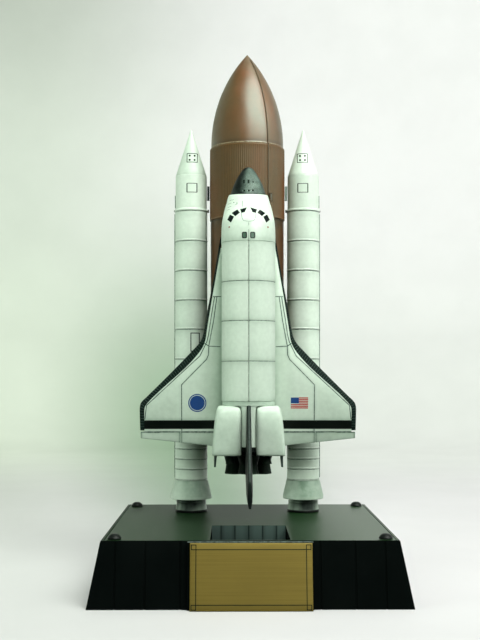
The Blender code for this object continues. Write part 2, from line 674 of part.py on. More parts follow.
# Height, inner x, outer x and depth of the top of each pod's section
POD_SECTIONS = (
    (91.7, 6.0, 14.9, -50.6),
    (91.2, 4.9, 15.8, -52.7),
    (90.2, 4.2, 16.4, -54.5),
    (88.4, 3.9, 16.9, -55.9),
    (85.0, 3.75, 17.4, -56.9),
    (78.0, 3.7, 18.1, -57.6),
    (70.0, 3.7, 18.7, -57.6),
    (66.7, 3.7, 18.9, -57.3),
)
POD_SQUARE = 0.5                # the smaller, the fuller its corners


def pod_ring(z, inner_x, outer_x, top_y):
    """Section of a pod: a rounded box that sits flat on the aft fuselage's shoulder."""
    foot_y = SHOULDER_Y - GAP
    middle_x, half_x = (inner_x + outer_x) / 2, (outer_x - inner_x) / 2
    middle_y, half_y = (foot_y + top_y) / 2, (foot_y - top_y) / 2
    points = []
    for i in range(24):
        turn = 2 * math.pi * i / 24
        c, s = math.cos(turn), math.sin(turn)
        points.append((middle_x + half_x * math.copysign(abs(c) ** POD_SQUARE, c),
                       middle_y - half_y * math.copysign(abs(s) ** POD_SQUARE, s), z))
    return points


def bell(radius, neck_r, high_z, low_z):
    """Engine bell as (radius, height): stem, round shield, neck, then a hollow flare."""
    deep = high_z - low_z
    stem_r, shield_z = 3.2, high_z - 1.85
    return [(0, high_z), (stem_r, high_z), (stem_r, shield_z), (radius * 1.06, shield_z),
            (radius * 1.04, shield_z - deep * 0.14), (neck_r, high_z - deep * 0.53),
            (radius * 0.94, high_z - deep * 0.78), (radius, low_z), (radius - 0.5, low_z),
            (neck_r * 0.75, low_z + deep * 0.35), (0, low_z + deep * 0.4)]


def build_pods(stack):
    """Both tail pods, each with its nozzle and thruster tail."""
    high = POD_SECTIONS[-1][0] - GAP
    bell_low = 62.3
    profile = [(0, high), (1.5, high), (1.7, bell_low + 3.2), (2.5, bell_low), (2.1, bell_low),
               (1.2, bell_low + 2.7), (0, bell_low + 2.9)]
    back_y, front_edge_y = THRUSTER_Y
    tail = [[(near, front_edge_y, z), (THRUSTER_OUTER_X, front_edge_y, z), (THRUSTER_OUTER_X, back_y, z),
             (near, back_y, z)] for near, z in ((16.2, high), (16.9, THRUSTER_LOW_Z))]
    for side_name, side in (("left", -1), ("right", 1)):
        rings = [mirrored(pod_ring(*row), side) for row in POD_SECTIONS]
        place(f"pod_{side_name}", skin(rings), "white_paint", stack, sharp=50.0)
        x, y = POD_NOZZLE_PLACE
        place(f"pod_nozzle_{side_name}", turned(profile, 16), "black_paint", stack, (side * x, y, 0.0))
        place(f"pod_thruster_{side_name}", skin([mirrored(ring, side) for ring in tail]), "black_paint",
              stack)


def build_engines(stack):
    """The three main engines."""
    for name, (x, y, low) in ENGINE_PLACES.items():
        mesh = turned(bell(ENGINE_R, ENGINE_NECK_R, AFT_LOW_Z - GAP, low), 24)
        place(f"engine_{name}", mesh, "black_paint", stack, (x, y, 0.0))


def build_fin(stack):
    """Fin with a blunt leading edge that thickens backwards, and the wedge of its rudder."""
    rings = []
    for share, y in ((0.0, FIN_ROOT_Y), (1.0, FIN_TIP_Y)):
        half = between(FIN_HALF, share)
        nose, waist = half * FIN_NOSE, half * FIN_WAIST
        chord = (between(FIN_LEAD_Z, share), between(RUDDER_LINE_Z, share))
        rings.append([(-nose * 0.6, y, chord[0]), (nose * 0.6, y, chord[0]), (nose, y, between(chord, 0.04)),
                      (waist, y, chord[1]), (-waist, y, chord[1]), (-nose, y, between(chord, 0.04))])
    place("fin", skin(rings), "white_paint", stack)
    rings = []
    for y in (FIN_ROOT_Y - 1.0, FIN_TIP_Y):
        share = (y - FIN_ROOT_Y) / (FIN_TIP_Y - FIN_ROOT_Y)
        half = between(FIN_HALF, share)
        waist = half * FIN_WAIST
        high, low = between(RUDDER_LINE_Z, share) - GAP, between(RUDDER_TRAIL_Z, share)
        rings.append([(waist, y, high), (half, y, low), (-half, y, low), (-waist, y, high)])
    place("rudder", skin(rings), "white_paint", stack)


def build_attachments(stack):
    """Forward bipod and aft struts between tank and orbiter."""
    yoke = box((-1.3, -25.5, 193.0), (1.3, -24.3, 196.0))
    place("bipod_yoke", yoke, "tank_brown", stack)
    for side_name, side in (("left", -1), ("right", 1)):
        foot, head = mirrored((BIPOD_FOOT, BIPOD_HEAD), side)
        place(f"bipod_{side_name}", rod(foot, head, BIPOD_R, 10), "tank_brown", stack)
        strut = rod((side * AFT_STRUT_X, AFT_STRUT_Y, AFT_STRUT_Z),
                    (side * AFT_STRUT_X, BELLY_Y + GAP, AFT_STRUT_Z), AFT_STRUT_R, 12)
        place(f"aft_strut_{side_name}", strut, "tank_brown", stack)


def main():
    """Build the whole model under one empty that centres it on its origin."""
    clear_scene()
    front = front_y(PLATE_LOW_Z, BOSS_PROUD + GAP + PLATE_THICK)
    back = BASE_CENTRE_Y + BASE_HALF_Y + BASE_FLARE
    stack = bpy.data.objects.new("stack", None)
    bpy.context.collection.objects.link(stack)
    stack.location = Vector((0.0, -(front + back) / 2, 0.0)) * MM
    build_plinth(stack)
    build_tank(stack)
    build_boosters(stack)
    build_fuselage(stack)
    build_doors(stack)
    build_wings(stack)
    build_pods(stack)
    build_engines(stack)
    build_fin(stack)
    build_attachments(stack)
    bpy.context.view_layer.update()


main()
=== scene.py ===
"""Looks of a display model of a space shuttle launch stack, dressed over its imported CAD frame.

Shapes are worked out in the stack's own millimetres: X to the right, Y away from the viewer with 0 on the
tank's axis, Z up from the table. A Patch is one grid of points with the painted marks that follow it, and
each piece is a closed surface welded from patches and placed in the row frame, in metres.
"""

import logging
import math
from collections.abc import Callable, Sequence
from dataclasses import dataclass, field, replace
from enum import Enum

import bmesh
import bpy
import numpy as np
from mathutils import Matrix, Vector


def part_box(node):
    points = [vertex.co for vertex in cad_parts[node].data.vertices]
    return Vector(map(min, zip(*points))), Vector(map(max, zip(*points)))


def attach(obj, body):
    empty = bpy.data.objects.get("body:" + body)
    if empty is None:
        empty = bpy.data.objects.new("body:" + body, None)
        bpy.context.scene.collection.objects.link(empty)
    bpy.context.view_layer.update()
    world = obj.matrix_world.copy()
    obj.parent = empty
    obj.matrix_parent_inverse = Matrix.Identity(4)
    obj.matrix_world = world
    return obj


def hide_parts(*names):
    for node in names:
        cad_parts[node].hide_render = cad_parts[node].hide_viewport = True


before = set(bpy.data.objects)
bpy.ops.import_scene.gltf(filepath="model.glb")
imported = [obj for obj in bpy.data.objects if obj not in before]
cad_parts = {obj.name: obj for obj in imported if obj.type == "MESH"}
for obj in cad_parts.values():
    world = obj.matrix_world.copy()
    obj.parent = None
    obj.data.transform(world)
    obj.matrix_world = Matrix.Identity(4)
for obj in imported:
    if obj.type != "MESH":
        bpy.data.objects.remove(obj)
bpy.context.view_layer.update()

LOG = logging.getLogger("stack")
MM = 0.001
WELD_MM = 0.0013                 # points closer than this are one
STACK_Y = sum(corner.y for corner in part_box("tank_barrel")) / 2 / MM
SEAM = 0.25                      # open line between neighbouring pieces
ROOT = "root"

Colour = tuple[float, float, float]
Corners = Sequence[Sequence[float]]
Places = tuple[np.ndarray, np.ndarray]    # grids of distances to the right and of heights
Surface = Callable[[np.ndarray, np.ndarray], np.ndarray]    # depth for each x and z


class Side(Enum):
    """The two sides of the stack as the viewer sees them."""

    LEFT = -1
    RIGHT = 1

    @property
    def label(self) -> str:
        """The side's word in node names."""
        return self.name.lower()


class Mark(str, Enum):
    """What is painted on a surface point by point, as mesh attributes."""

    WASH = "wash"                # airbrushed shading beside lines, and painted shade where light falls off or is blocked; on the plinth's deck, its gloss and a painted reflection
    INK = "ink"                  # dark paint left in an engraved line
    WORN = "worn"                # raised edges rubbed lighter, and painted highlights on some ridges and edges
    DARK = "dark"                # areas in the finish's own second paint, mostly black; also a painted lighter wall in the plinth's recess and a painted shadow on the cable tray


Marks = dict[Mark, np.ndarray | float]


# Grids and meshes


@dataclass
class Patch:
    """A grid of points in stack millimetres; wrap joins its last column to its first."""

    points: np.ndarray
    wrap: bool = False
    marks: Marks = field(default_factory=dict)


def weld(patches: Sequence[Patch]) -> tuple[np.ndarray, list, dict[Mark, np.ndarray]]:
    """Join patches into one mesh: equal points become one, and faces that this collapses are dropped.

    Args:
        patches: the grids, whose edges meet point for point.

    Returns:
        The points, the faces as lists of corners, and each mark's value at each point.
    """
    names = sorted({mark for patch in patches for mark in patch.marks})
    corners, quads, start = [], [], 0
    values: dict[Mark, list] = {name: [] for name in names}
    for patch in patches:
        rows, columns = patch.points.shape[:2]
        index = start + np.arange(rows * columns).reshape(rows, columns)
        if patch.wrap:
            index = np.concatenate([index, index[:, :1]], axis=1)
        cells = [index[:-1, :-1], index[:-1, 1:], index[1:, 1:], index[1:, :-1]]
        quads.append(np.stack(cells, -1).reshape(-1, 4))
        corners.append(patch.points.reshape(-1, 3))
        for name in names:
            values[name].append(np.broadcast_to(patch.marks.get(name, 0.0), (rows, columns)).ravel())
        start += rows * columns
    points = np.concatenate(corners)
    keys = np.round(points / WELD_MM).astype(np.int64)
    _, first, back = np.unique(keys, axis=0, return_index=True, return_inverse=True)
    faces = back.ravel()[np.concatenate(quads)]
    same = faces == np.roll(faces, -1, axis=1)
    whole = faces[~same.any(1)].tolist()
    once = same.sum(1) == 1
    for corner in range(4):
        whole += np.delete(faces[once & same[:, corner]], corner, axis=1).tolist()
    marks = {name: np.concatenate(values[name])[first] for name in names}
    return points[first], whole, marks


def framed(points: np.ndarray) -> np.ndarray:
    """Stack millimetres as places in the row frame, in metres."""
    return (points + (0.0, STACK_Y, 0.0)) * MM


def linked(name: str, data: bpy.types.ID) -> bpy.types.Object:
    """A new object at the origin, linked to the scene.

    Args:
        name: the object's name.
        data: its mesh, camera or lamp.

    Returns:
        The object.
    """
    made = bpy.data.objects.new(name, data)
    bpy.context.scene.collection.objects.link(made)
    return made


def welded_mesh(name: str, patches: Sequence[Patch]) -> bpy.types.Mesh:
    """A mesh welded from patches, with its marks as attributes.

    Args:
        name: the mesh's name.
        patches: its surface as grids in stack millimetres.

    Returns:
        The mesh, in the row frame.
    """
    points, faces, marks = weld(patches)
    mesh = bpy.data.meshes.new(name)
    mesh.from_pydata(framed(points).tolist(), [], faces)
    for mark, values in marks.items():
        layer = mesh.attributes.new(mark.value, "FLOAT", "POINT")
        layer.data.foreach_set("value", values.astype(np.float32))
    return mesh


def make_piece(name: str, patches: Sequence[Patch], finish: "Finish", body: str = ROOT,
               replaces: Sequence[str] = (), sharp: float = 38.0) -> bpy.types.Object:
    """Turn patches into a piece that rides on a CAD body.

    Args:
        name: the piece's name.
        patches: closed surface as grids in stack millimetres.
        finish: what it is painted with.
        body: the CAD body that carries it.
        replaces: CAD nodes that it stands for.
        sharp: edges steeper than this, in degrees, stay crisp.

    Returns:
        The object, at the origin, with its place in its mesh.
    """
    mesh = welded_mesh(name, patches)
    work = bmesh.new()
    work.from_mesh(mesh)
    bmesh.ops.recalc_face_normals(work, faces=work.faces)
    work.to_mesh(mesh)
    work.free()
    mesh.shade_smooth()
    mesh.set_sharp_from_angle(angle=math.radians(sharp))
    mesh.materials.append(finish.material())
    piece = linked(name, mesh)
    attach(piece, body)
    if replaces:
        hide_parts(*replaces)
    LOG.info("%s: %d faces on %s", name, len(mesh.polygons), body)
    return piece


def dress_nodes(finish: "Finish", *names: str) -> None:
    """Give CAD nodes that keep their own shape a finish.

    Args:
        finish: what they are painted with.
        names: the CAD nodes.
    """
    for name in names:
        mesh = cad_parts[name].data
        mesh.materials.clear()
        mesh.materials.append(finish.material())
        LOG.info("%s: CAD shape kept", name)


def gather(x: np.ndarray, y: np.ndarray, z: np.ndarray) -> np.ndarray:
    """Points from their coordinates, which are first spread to one shape."""
    return np.stack(np.broadcast_arrays(x, y, z), -1)


def full_turn(columns: int) -> np.ndarray:
    """Angles once round a circle, evenly apart."""
    return np.linspace(0.0, 2 * np.pi, columns, endpoint=False)


def rectangle(low_x: float, high_x: float, low_z: float, high_z: float) -> list[tuple[float, float]]:
    """Corners of an upright rectangle as (x, z)."""
    return [(low_x, low_z), (high_x, low_z), (high_x, high_z), (low_x, high_z)]


def hermite(table: np.ndarray, at: np.ndarray) -> np.ndarray:
    """Smooth curve through a table's rows, which never overshoots between them.

    Each column is a cubic between neighbouring rows. Its slope at a row is the harmonic mean of the slopes
    on both sides, or nothing where they differ in sign.

    Args:
        table: rows of (place, value, value, ...) in rising order of place.
        at: places to read.

    Returns:
        One row of values for each place.
    """
    places, values = table[:, 0], table[:, 1:]
    steps = np.diff(places)[:, None]
    slopes = np.diff(values, axis=0) / steps
    before, after = slopes[:-1], slopes[1:]
    turning = before * after <= 0
    total = np.where(turning, 1.0, before + after)
    inner = np.where(turning, 0.0, 2 * before * after / total)
    slope = np.concatenate([slopes[:1], inner, slopes[-1:]])
    cell = np.clip(np.searchsorted(places, at, side="right") - 1, 0, len(places) - 2)
    width = steps[cell]
    t = np.clip((at - places[cell])[:, None] / width, 0.0, 1.0)
    return ((2 * t ** 3 - 3 * t ** 2 + 1) * values[cell] + (t ** 3 - 2 * t ** 2 + t) * width * slope[cell]
            + (3 * t ** 2 - 2 * t ** 3) * values[cell + 1] + (t ** 3 - t ** 2) * width * slope[cell + 1])


def rounded(points: Corners, radius: float, steps: int = 4) -> np.ndarray:
    """A polyline whose inner corners are cut back by a radius and joined by a curve.

    Each corner becomes the parabola that starts and ends on its two sides, at most 0.45 of a side away.

    Args:
        points: the polyline's corners.
        radius: how far each corner is cut back.
        steps: how many pieces each curve has.

    Returns:
        The new polyline.
    """
    corners = np.array(points, float)
    middle, before, after = corners[1:-1], corners[:-2], corners[2:]
    back, ahead = before - middle, after - middle
    back_length = np.linalg.norm(back, axis=1, keepdims=True)
    ahead_length = np.linalg.norm(ahead, axis=1, keepdims=True)
    start = middle + back / back_length * np.minimum(radius, 0.45 * back_length)
    end = middle + ahead / ahead_length * np.minimum(radius, 0.45 * ahead_length)
    t = np.linspace(0.0, 1.0, steps + 1)[None, :, None]
    curves = (1 - t) ** 2 * start[:, None] + 2 * t * (1 - t) * middle[:, None] + t ** 2 * end[:, None]
    return np.concatenate([corners[:1], curves.reshape(-1, corners.shape[1]), corners[-1:]])


def arc(centre: Sequence[float], radius: float, start: float, end: float, steps: int) -> np.ndarray:
    """Points on a circle about a centre, from one angle to another in degrees."""
    turn = np.radians(np.linspace(start, end, steps + 1))
    return np.stack([centre[0] + radius * np.cos(turn), centre[1] + radius * np.sin(turn)], -1)


def turned(profile: np.ndarray, columns: int, x: float = 0.0, y: float = 0.0) -> Patch:
    """A surface turned about an upright axis.

    Row i is a circle of the profile's radius at the profile's height; a radius of 0 is a pole.

    Args:
        profile: rows of (radius, height).
        columns: points round each circle.
        x: the axis's distance to the right.
        y: the axis's depth.

    Returns:
        The wrapped grid.
    """
    profile = np.asarray(profile, float)
    turn, radius = full_turn(columns), profile[:, :1]
    return Patch(gather(x + radius * np.cos(turn), y + radius * np.sin(turn), profile[:, 1:]), wrap=True)


def lathe(radius: np.ndarray, z: np.ndarray, columns: int, x: float = 0.0) -> Patch:
    """A turned surface that is closed by a flat disc at both of its ends.

    Args:
        radius: the radius at each height.
        z: the heights, rising.
        columns: points round each circle.
        x: the axis's distance to the right.

    Returns:
        The wrapped grid, from the lower disc's middle to the upper one's.
    """
    wall = np.stack([radius, z], -1)
    return turned(np.concatenate([[(0.0, z[0])], wall, [(0.0, z[-1])]]), columns, x)


def drawn(outline: np.ndarray, heights: np.ndarray) -> np.ndarray:
    """Grid of (x, y) outlines, one for all heights or one for each."""
    rows = np.broadcast_to(outline, (len(heights), *outline.shape[-2:]))
    return gather(rows[..., 0], rows[..., 1], heights[:, None])


def mirrored(right: np.ndarray, low_y: float, high_y: float) -> np.ndarray:
    """A closed outline from its right half and the depths where it crosses the middle."""
    return np.concatenate([[(0.0, low_y)], right, [(0.0, high_y)], right[::-1] * (-1, 1)])


def ladder(loop: np.ndarray) -> Patch:
    """Close a loop of 2n points by joining each point of its first half to its partner in the second."""
    half = len(loop) // 2
    return Patch(np.stack([loop[:half], loop[half:][::-1]]))


def fan(loop: np.ndarray) -> Patch:
    """Close a loop with faces that all meet in its middle."""
    return Patch(np.stack([loop, np.broadcast_to(loop.mean(0), loop.shape)]), wrap=True)


def capped(points: np.ndarray, marks: Marks | None = None,
           end: Callable[[np.ndarray], Patch] = fan) -> list[Patch]:
    """A grid that goes round, with its first and last row closed, by fans unless told otherwise."""
    return [Patch(points, True, marks or {}), end(points[0]), end(points[-1])]


def rows_between(low: float, high: float, step: float, *extra: np.ndarray) -> np.ndarray:
    """Rising places about a step apart, and more of them where they are asked for.

    Args:
        low: the first place.
        high: the last place.
        step: how far apart they are, about.
        extra: further places, of which those from low to high are kept.

    Returns:
        The places, each one once.
    """
    count = max(2, round((high - low) / step) + 1)
    places = np.concatenate([np.linspace(low, high, count), *[np.ravel(e) for e in extra]])
    return np.unique(np.round(places[(places >= low) & (places <= high)], 4))


def bump(values: np.ndarray, centres: Sequence[float], width: float) -> np.ndarray:
    """1 at any of the centres, falling to both sides as a bell curve of this width."""
    apart = np.asarray(values)[..., None] - np.asarray(centres)
    return np.exp(-(apart / width) ** 2).max(-1)


def ease(values: np.ndarray, low: float, high: float) -> np.ndarray:
    """0 at low and 1 at high, with a smooth rise between; low may be the larger."""
    t = np.clip((np.asarray(values) - low) / (high - low), 0.0, 1.0)
    return t * t * (3 - 2 * t)


def outward(surface: Surface, x: np.ndarray, z: np.ndarray) -> np.ndarray:
    """Unit vectors out of a surface, towards the viewer.

    Args:
        surface: depth for each x and z.
        x: distances to the right.
        z: heights.

    Returns:
        The vectors: across the slopes to the right and up, read over a short step.
    """
    near = 0.05
    across = (surface(x + near, z) - surface(x - near, z)) / (2 * near)
    up = (surface(x, z + near) - surface(x, z - near)) / (2 * near)
    vector = np.stack([across, -np.ones_like(across), up], -1)
    return vector / np.linalg.norm(vector, axis=-1, keepdims=True)


def lifted(surface: Surface, x: np.ndarray, z: np.ndarray, lift: float) -> np.ndarray:
    """Points on a surface, moved out of it by a distance."""
    return np.stack([x, surface(x, z), z], -1) + lift * outward(surface, x, z)


def inlay(path: Corners, surface: Surface, width: float, closed: bool = False,
          lift: float = 0.05) -> list[Patch]:
    """A thin painted line that lies along a path on a surface.

    The path is read every 0.7 mm. Its edges are its points moved by half the width along the mitre of
    their two sides, and the line is a shallow bar between lift above and lift below the surface.

    Args:
        path: corners as (x, z).
        surface: depth for each x and z.
        width: the line's width.
        closed: whether the last corner meets the first.
        lift: how far it stands out.

    Returns:
        The patches of the closed bar.
    """
    corners = np.array(list(path) + ([path[0]] if closed else []), float)
    reach = np.concatenate([[0.0], np.cumsum(np.linalg.norm(np.diff(corners, axis=0), axis=1))])
    places = rows_between(0.0, reach[-1], 0.7, reach)
    line = np.stack([np.interp(places, reach, corners[:, k]) for k in (0, 1)], -1)
    along = np.diff(line, axis=0)
    along /= np.linalg.norm(along, axis=1, keepdims=True)
    square = np.stack([-along[:, 1], along[:, 0]], -1)
    first, last = (square[-1:], square[:1]) if closed else (square[:1], square[-1:])
    before, after = np.concatenate([first, square]), np.concatenate([square, last])
    mitre = (before + after) / (1 + (before * after).sum(1, keepdims=True)) * width / 2
    columns = []
    for edge, height in ((1, -lift), (1, lift), (-1, lift), (-1, -lift)):
        at = line + edge * mitre
        columns.append(lifted(surface, at[:, 0], at[:, 1], height))
    grid = np.stack(columns, 1)
    return [Patch(grid, wrap=True)] if closed else capped(grid, end=ladder)


def plaque(x: np.ndarray, z: np.ndarray, surface: Surface, lift: float = 0.06, wrap: bool = False,
           sink: float = 0.08) -> list[Patch]:
    """A thin closed tile over a grid of places on a surface.

    Its face is the grid moved out by lift, its back the grid moved in by sink, and its rim joins them.

    Args:
        x: grid of distances to the right.
        z: grid of heights.
        surface: depth for each x and z.
        lift: how far it stands out.
        wrap: whether columns go round, with the first row a pole.
        sink: how deep its back lies.

    Returns:
        The patches of the closed tile.
    """
    face, back = lifted(surface, x, z, lift), lifted(surface, x, z, -sink)
    rims = [(face[-1], back[-1])]
    if not wrap:
        rims += [(face[0], back[0]), (face[:, 0], back[:, 0]), (face[:, -1], back[:, -1])]
    return [Patch(face, wrap), Patch(back, wrap), *[Patch(np.stack(rim), wrap) for rim in rims]]


def quad_places(corners: Corners, rows: int = 7, columns: int = 7) -> Places:
    """Grid of places inside four corners, by mixing the corners' places.

    Args:
        corners: four (x, z) in order round the shape.
        rows: places along its second side.
        columns: places along its first side.

    Returns:
        The places' x and z.
    """
    a, b, c, d = (np.array(corner, float) for corner in corners)
    v, u = np.meshgrid(np.linspace(0, 1, rows), np.linspace(0, 1, columns), indexing="ij")
    u, v = u[..., None], v[..., None]
    grid = (1 - v) * ((1 - u) * a + u * b) + v * ((1 - u) * d + u * c)
    return grid[..., 0], grid[..., 1]


def disc_places(x: float, z: float, inner: float, outer: float, columns: int = 40) -> Places:
    """Grid of places on a disc or ring about a centre, by radius and angle."""
    radius, turn = np.meshgrid(np.linspace(inner, outer, 5), full_turn(columns), indexing="ij")
    return x + radius * np.cos(turn), z + radius * np.sin(turn)


def tiles(outlines: Sequence[Corners], surface: Surface, lift: float = 0.06, across: int = 7) -> list[Patch]:
    """Thin four-cornered tiles on a surface.

    Args:
        outlines: four (x, z) corners of each tile.
        surface: depth for each x and z.
        lift: how far they stand out.
        across: places along each side.

    Returns:
        The patches of all tiles.
    """
    return [patch for outline in outlines
            for patch in plaque(*quad_places(outline, across, across), surface, lift)]


def dots(centres: Corners, reach: float, surface: Surface, columns: int) -> list[Patch]:
    """Thin round tiles on a surface.

    Args:
        centres: (x, z) of each dot.
        reach: their radius.
        surface: depth for each x and z.
        columns: points round each dot.

    Returns:
        The patches of all dots.
    """
    return [patch for x, z in centres
            for patch in plaque(*disc_places(x, z, 0.0, reach, columns), surface, wrap=True)]


# Finishes


Socket = bpy.types.NodeSocket
NOISE_ENDS = (0.3, 0.7)    # noise hardly ever goes past these


class Graph:
    """Short calls that add nodes to one node tree and join them; colours are given as three numbers."""

    def __init__(self, tree: bpy.types.NodeTree) -> None:
        """Work on this node tree."""
        self.tree = tree

    def feed(self, socket: Socket, source: object) -> None:
        """Give a socket what it takes.

        Args:
            socket: the input.
            source: a socket, which is linked to it, or a plain value.
        """
        if isinstance(source, Socket):
            self.tree.links.new(source, socket)
        elif socket.type == "RGBA":
            socket.default_value = (*source, 1.0)
        else:
            socket.default_value = source

    def add(self, kind: str, feeds: dict | None = None, **settings: object) -> bpy.types.Node:
        """Add a node.

        Args:
            kind: the node's type.
            feeds: what its inputs take, by number or name.
            settings: its other settings.

        Returns:
            The node.
        """
        node = self.tree.nodes.new(kind)
        for name, value in settings.items():
            setattr(node, name, value)
        for key, source in (feeds or {}).items():
            self.feed(node.inputs[key], source)
        return node

    def math(self, operation: str, *sources: object, clamp: bool = False) -> Socket:
        """A number worked out from up to three others."""
        return self.add("ShaderNodeMath", dict(enumerate(sources)), operation=operation,
                        use_clamp=clamp).outputs[0]

    def vector(self, operation: str, *sources: object) -> Socket:
        """A vector worked out from vectors, or a number for a dot product or a length."""
        feeds = dict(zip((0, 3) if operation == "SCALE" else (0, 1), sources))
        return self.add("ShaderNodeVectorMath", feeds, operation=operation).outputs[
            1 if operation in ("DOT_PRODUCT", "LENGTH") else 0]

    def mix(self, share: object, first: object, second: object, blend: str = "MIX") -> Socket:
        """A colour between two others."""
        return self.add("ShaderNodeMix", {0: share, 6: first, 7: second}, data_type="RGBA",
                        blend_type=blend).outputs[2]

    def times(self, first: object, second: object) -> Socket:
        """The product of two numbers."""
        return self.math("MULTIPLY", first, second)

    def tinted(self, colour: object, tint: object) -> Socket:
        """A colour multiplied by another, or by a number."""
        return self.mix(1.0, colour, tint, blend="MULTIPLY")

    def spread(self, value: object, low: object, high: object, to_low: object, to_high: object) -> Socket:
        """A value carried smoothly from one range to another and held at its ends."""
        return self.add("ShaderNodeMapRange", dict(enumerate((value, low, high, to_low, to_high))),
                        interpolation_type="SMOOTHSTEP").outputs[0]

    def noise(self, vector: object, scale: object, detail: float = 3.0) -> Socket:
        """Smooth noise from 0 to 1."""
        return self.add("ShaderNodeTexNoise", {"Vector": vector, "Scale": scale, "Detail": detail}).outputs[0]

    def place(self) -> Socket:
        """Object coordinates."""
        return self.add("ShaderNodeTexCoord").outputs["Object"]

    def axes(self, vector: object) -> Sequence[Socket]:
        """A vector's three numbers."""
        return self.add("ShaderNodeSeparateXYZ", {0: vector}).outputs

    def joined(self, *axes: object) -> Socket:
        """A vector from its numbers."""
        return self.add("ShaderNodeCombineXYZ", dict(enumerate(axes))).outputs[0]

    def mark(self, mark: Mark) -> Socket:
        """One of the marks painted on the mesh, or 0 where the mesh has none."""
        return self.add("ShaderNodeAttribute", attribute_name=mark.value).outputs["Fac"]

    def group(self, tree: bpy.types.NodeTree, **values: object) -> Sequence[Socket]:
        """Outputs of a shared group placed with its own values; an underscore in a name is a space."""
        feeds = {label.replace("_", " "): source for label, source in values.items()}
        return self.add("ShaderNodeGroup", feeds, node_tree=tree).outputs


def shared_group(name: str, inputs: dict[str, tuple[str, object]], outputs: Sequence[str],
                 fill: Callable) -> bpy.types.NodeTree:
    """The named node group, built the first time that it is asked for.

    Args:
        name: the group's name.
        inputs: each input's kind and default value.
        outputs: the outputs' names; each is a number.
        fill: builds the inside from the graph, the inputs and the outputs.

    Returns:
        The group's tree.
    """
    found = bpy.data.node_groups.get(name)
    if found:
        return found
    tree = bpy.data.node_groups.new(name, "ShaderNodeTree")
    for label, (kind, default) in inputs.items():
        socket = tree.interface.new_socket(label, in_out="INPUT", socket_type="NodeSocket" + kind)
        socket.default_value = default
    for label in outputs:
        tree.interface.new_socket(label, in_out="OUTPUT", socket_type="NodeSocketFloat")
    graph = Graph(tree)
    fill(graph, graph.add("NodeGroupInput").outputs, graph.add("NodeGroupOutput").inputs)
    return tree


def mottle_group() -> bpy.types.NodeTree:
    """Broad, soft unevenness of sprayed paint: noise on object coordinates, drawn out along Z."""

    def fill(graph: Graph, given: object, out: object) -> None:
        """Scale the coordinates, read the noise and carry it to the range asked for.

        Args:
            graph: the group's graph.
            given: its inputs.
            out: its outputs.
        """
        drawn_out = graph.vector("MULTIPLY", graph.place(), graph.joined(1.0, 1.0, given["Stretch"]))
        value = graph.noise(drawn_out, given["Scale"], 4.0)
        graph.feed(out["Value"], graph.spread(value, *NOISE_ENDS, given["Low"], given["High"]))

    return shared_group("sprayed mottle", {"Scale": ("Float", 60.0), "Stretch": ("Float", 1.0),
                                           "Low": ("Float", 0.9), "High": ("Float", 1.1)}, ["Value"], fill)


def airbrush_group() -> bpy.types.NodeTree:
    """A painted mark whose edge and strength are broken up by fine noise, as by hand work."""

    def fill(graph: Graph, given: object, out: object) -> None:
        """Multiply the mark by noise about 1 and hold it between 0 and 1.

        Args:
            graph: the group's graph.
            given: its inputs.
            out: its outputs.
        """
        value = graph.noise(graph.place(), given["Scale"], 3.0)
        low = graph.math("SUBTRACT", 1.0, given["Break"])
        high = graph.math("ADD", 1.0, given["Break"])
        uneven = graph.spread(value, *NOISE_ENDS, low, high)
        graph.feed(out["Mask"], graph.math("MULTIPLY", given["Amount"], uneven, clamp=True))

    return shared_group("hand-laid mark", {"Amount": ("Float", 0.0), "Scale": ("Float", 500.0),
                                           "Break": ("Float", 0.4)}, ["Mask"], fill)


def surface_group() -> bpy.types.NodeTree:
    """Fine texture of a surface: height for a bump, and how its roughness wanders."""

    def fill(graph: Graph, given: object, out: object) -> None:
        """Fine noise gives the height, coarser noise the roughness about its middle value.

        Args:
            graph: the group's graph.
            given: its inputs.
            out: its outputs.
        """
        graph.feed(out["Height"], graph.noise(graph.place(), given["Scale"], 2.0))
        low = graph.math("SUBTRACT", given["Roughness"], given["Spread"])
        high = graph.math("ADD", given["Roughness"], given["Spread"])
        wander = graph.noise(graph.place(), 130.0, 3.0)
        graph.feed(out["Roughness"], graph.spread(wander, *NOISE_ENDS, low, high))

    return shared_group("surface grain", {"Scale": ("Float", 3000.0), "Roughness": ("Float", 0.4),
                                          "Spread": ("Float", 0.05)}, ["Height", "Roughness"], fill)


def panel_line_group() -> bpy.types.NodeTree:
    """An engraved line between two places in the X-Z plane, the same on both sides of the middle.

    Distance from the nearest point of the line: the place is projected on it, held between its ends.
    """

    def fill(graph: Graph, given: object, out: object) -> None:
        """Measure the distance and turn it into a sharp line and a soft halo.

        Args:
            graph: the group's graph.
            given: its inputs.
            out: its outputs.
        """
        x, _, z = graph.axes(graph.vector("SCALE", graph.place(), 1 / MM))
        reach = graph.vector("SUBTRACT", given["End"], given["Start"])
        offset = graph.vector("SUBTRACT", graph.joined(graph.math("ABSOLUTE", x), 0.0, z), given["Start"])
        share = graph.math("DIVIDE", graph.vector("DOT_PRODUCT", offset, reach),
                           graph.vector("DOT_PRODUCT", reach, reach), clamp=True)
        nearest = graph.vector("SCALE", reach, share)
        distance = graph.vector("LENGTH", graph.vector("SUBTRACT", offset, nearest))
        soft = graph.times(given["Half width"], 1.8)
        graph.feed(out["Line"], graph.spread(distance, given["Half width"], soft, 1.0, 0.0))
        graph.feed(out["Halo"], graph.spread(distance, 0.0, given["Halo"], 1.0, 0.0))

    return shared_group("engraved line", {"Start": ("Vector", (0, 0, 0)), "End": ("Vector", (1, 0, 0)),
                                          "Half width": ("Float", 0.155), "Halo": ("Float", 2.4)},
                        ["Line", "Halo"], fill)


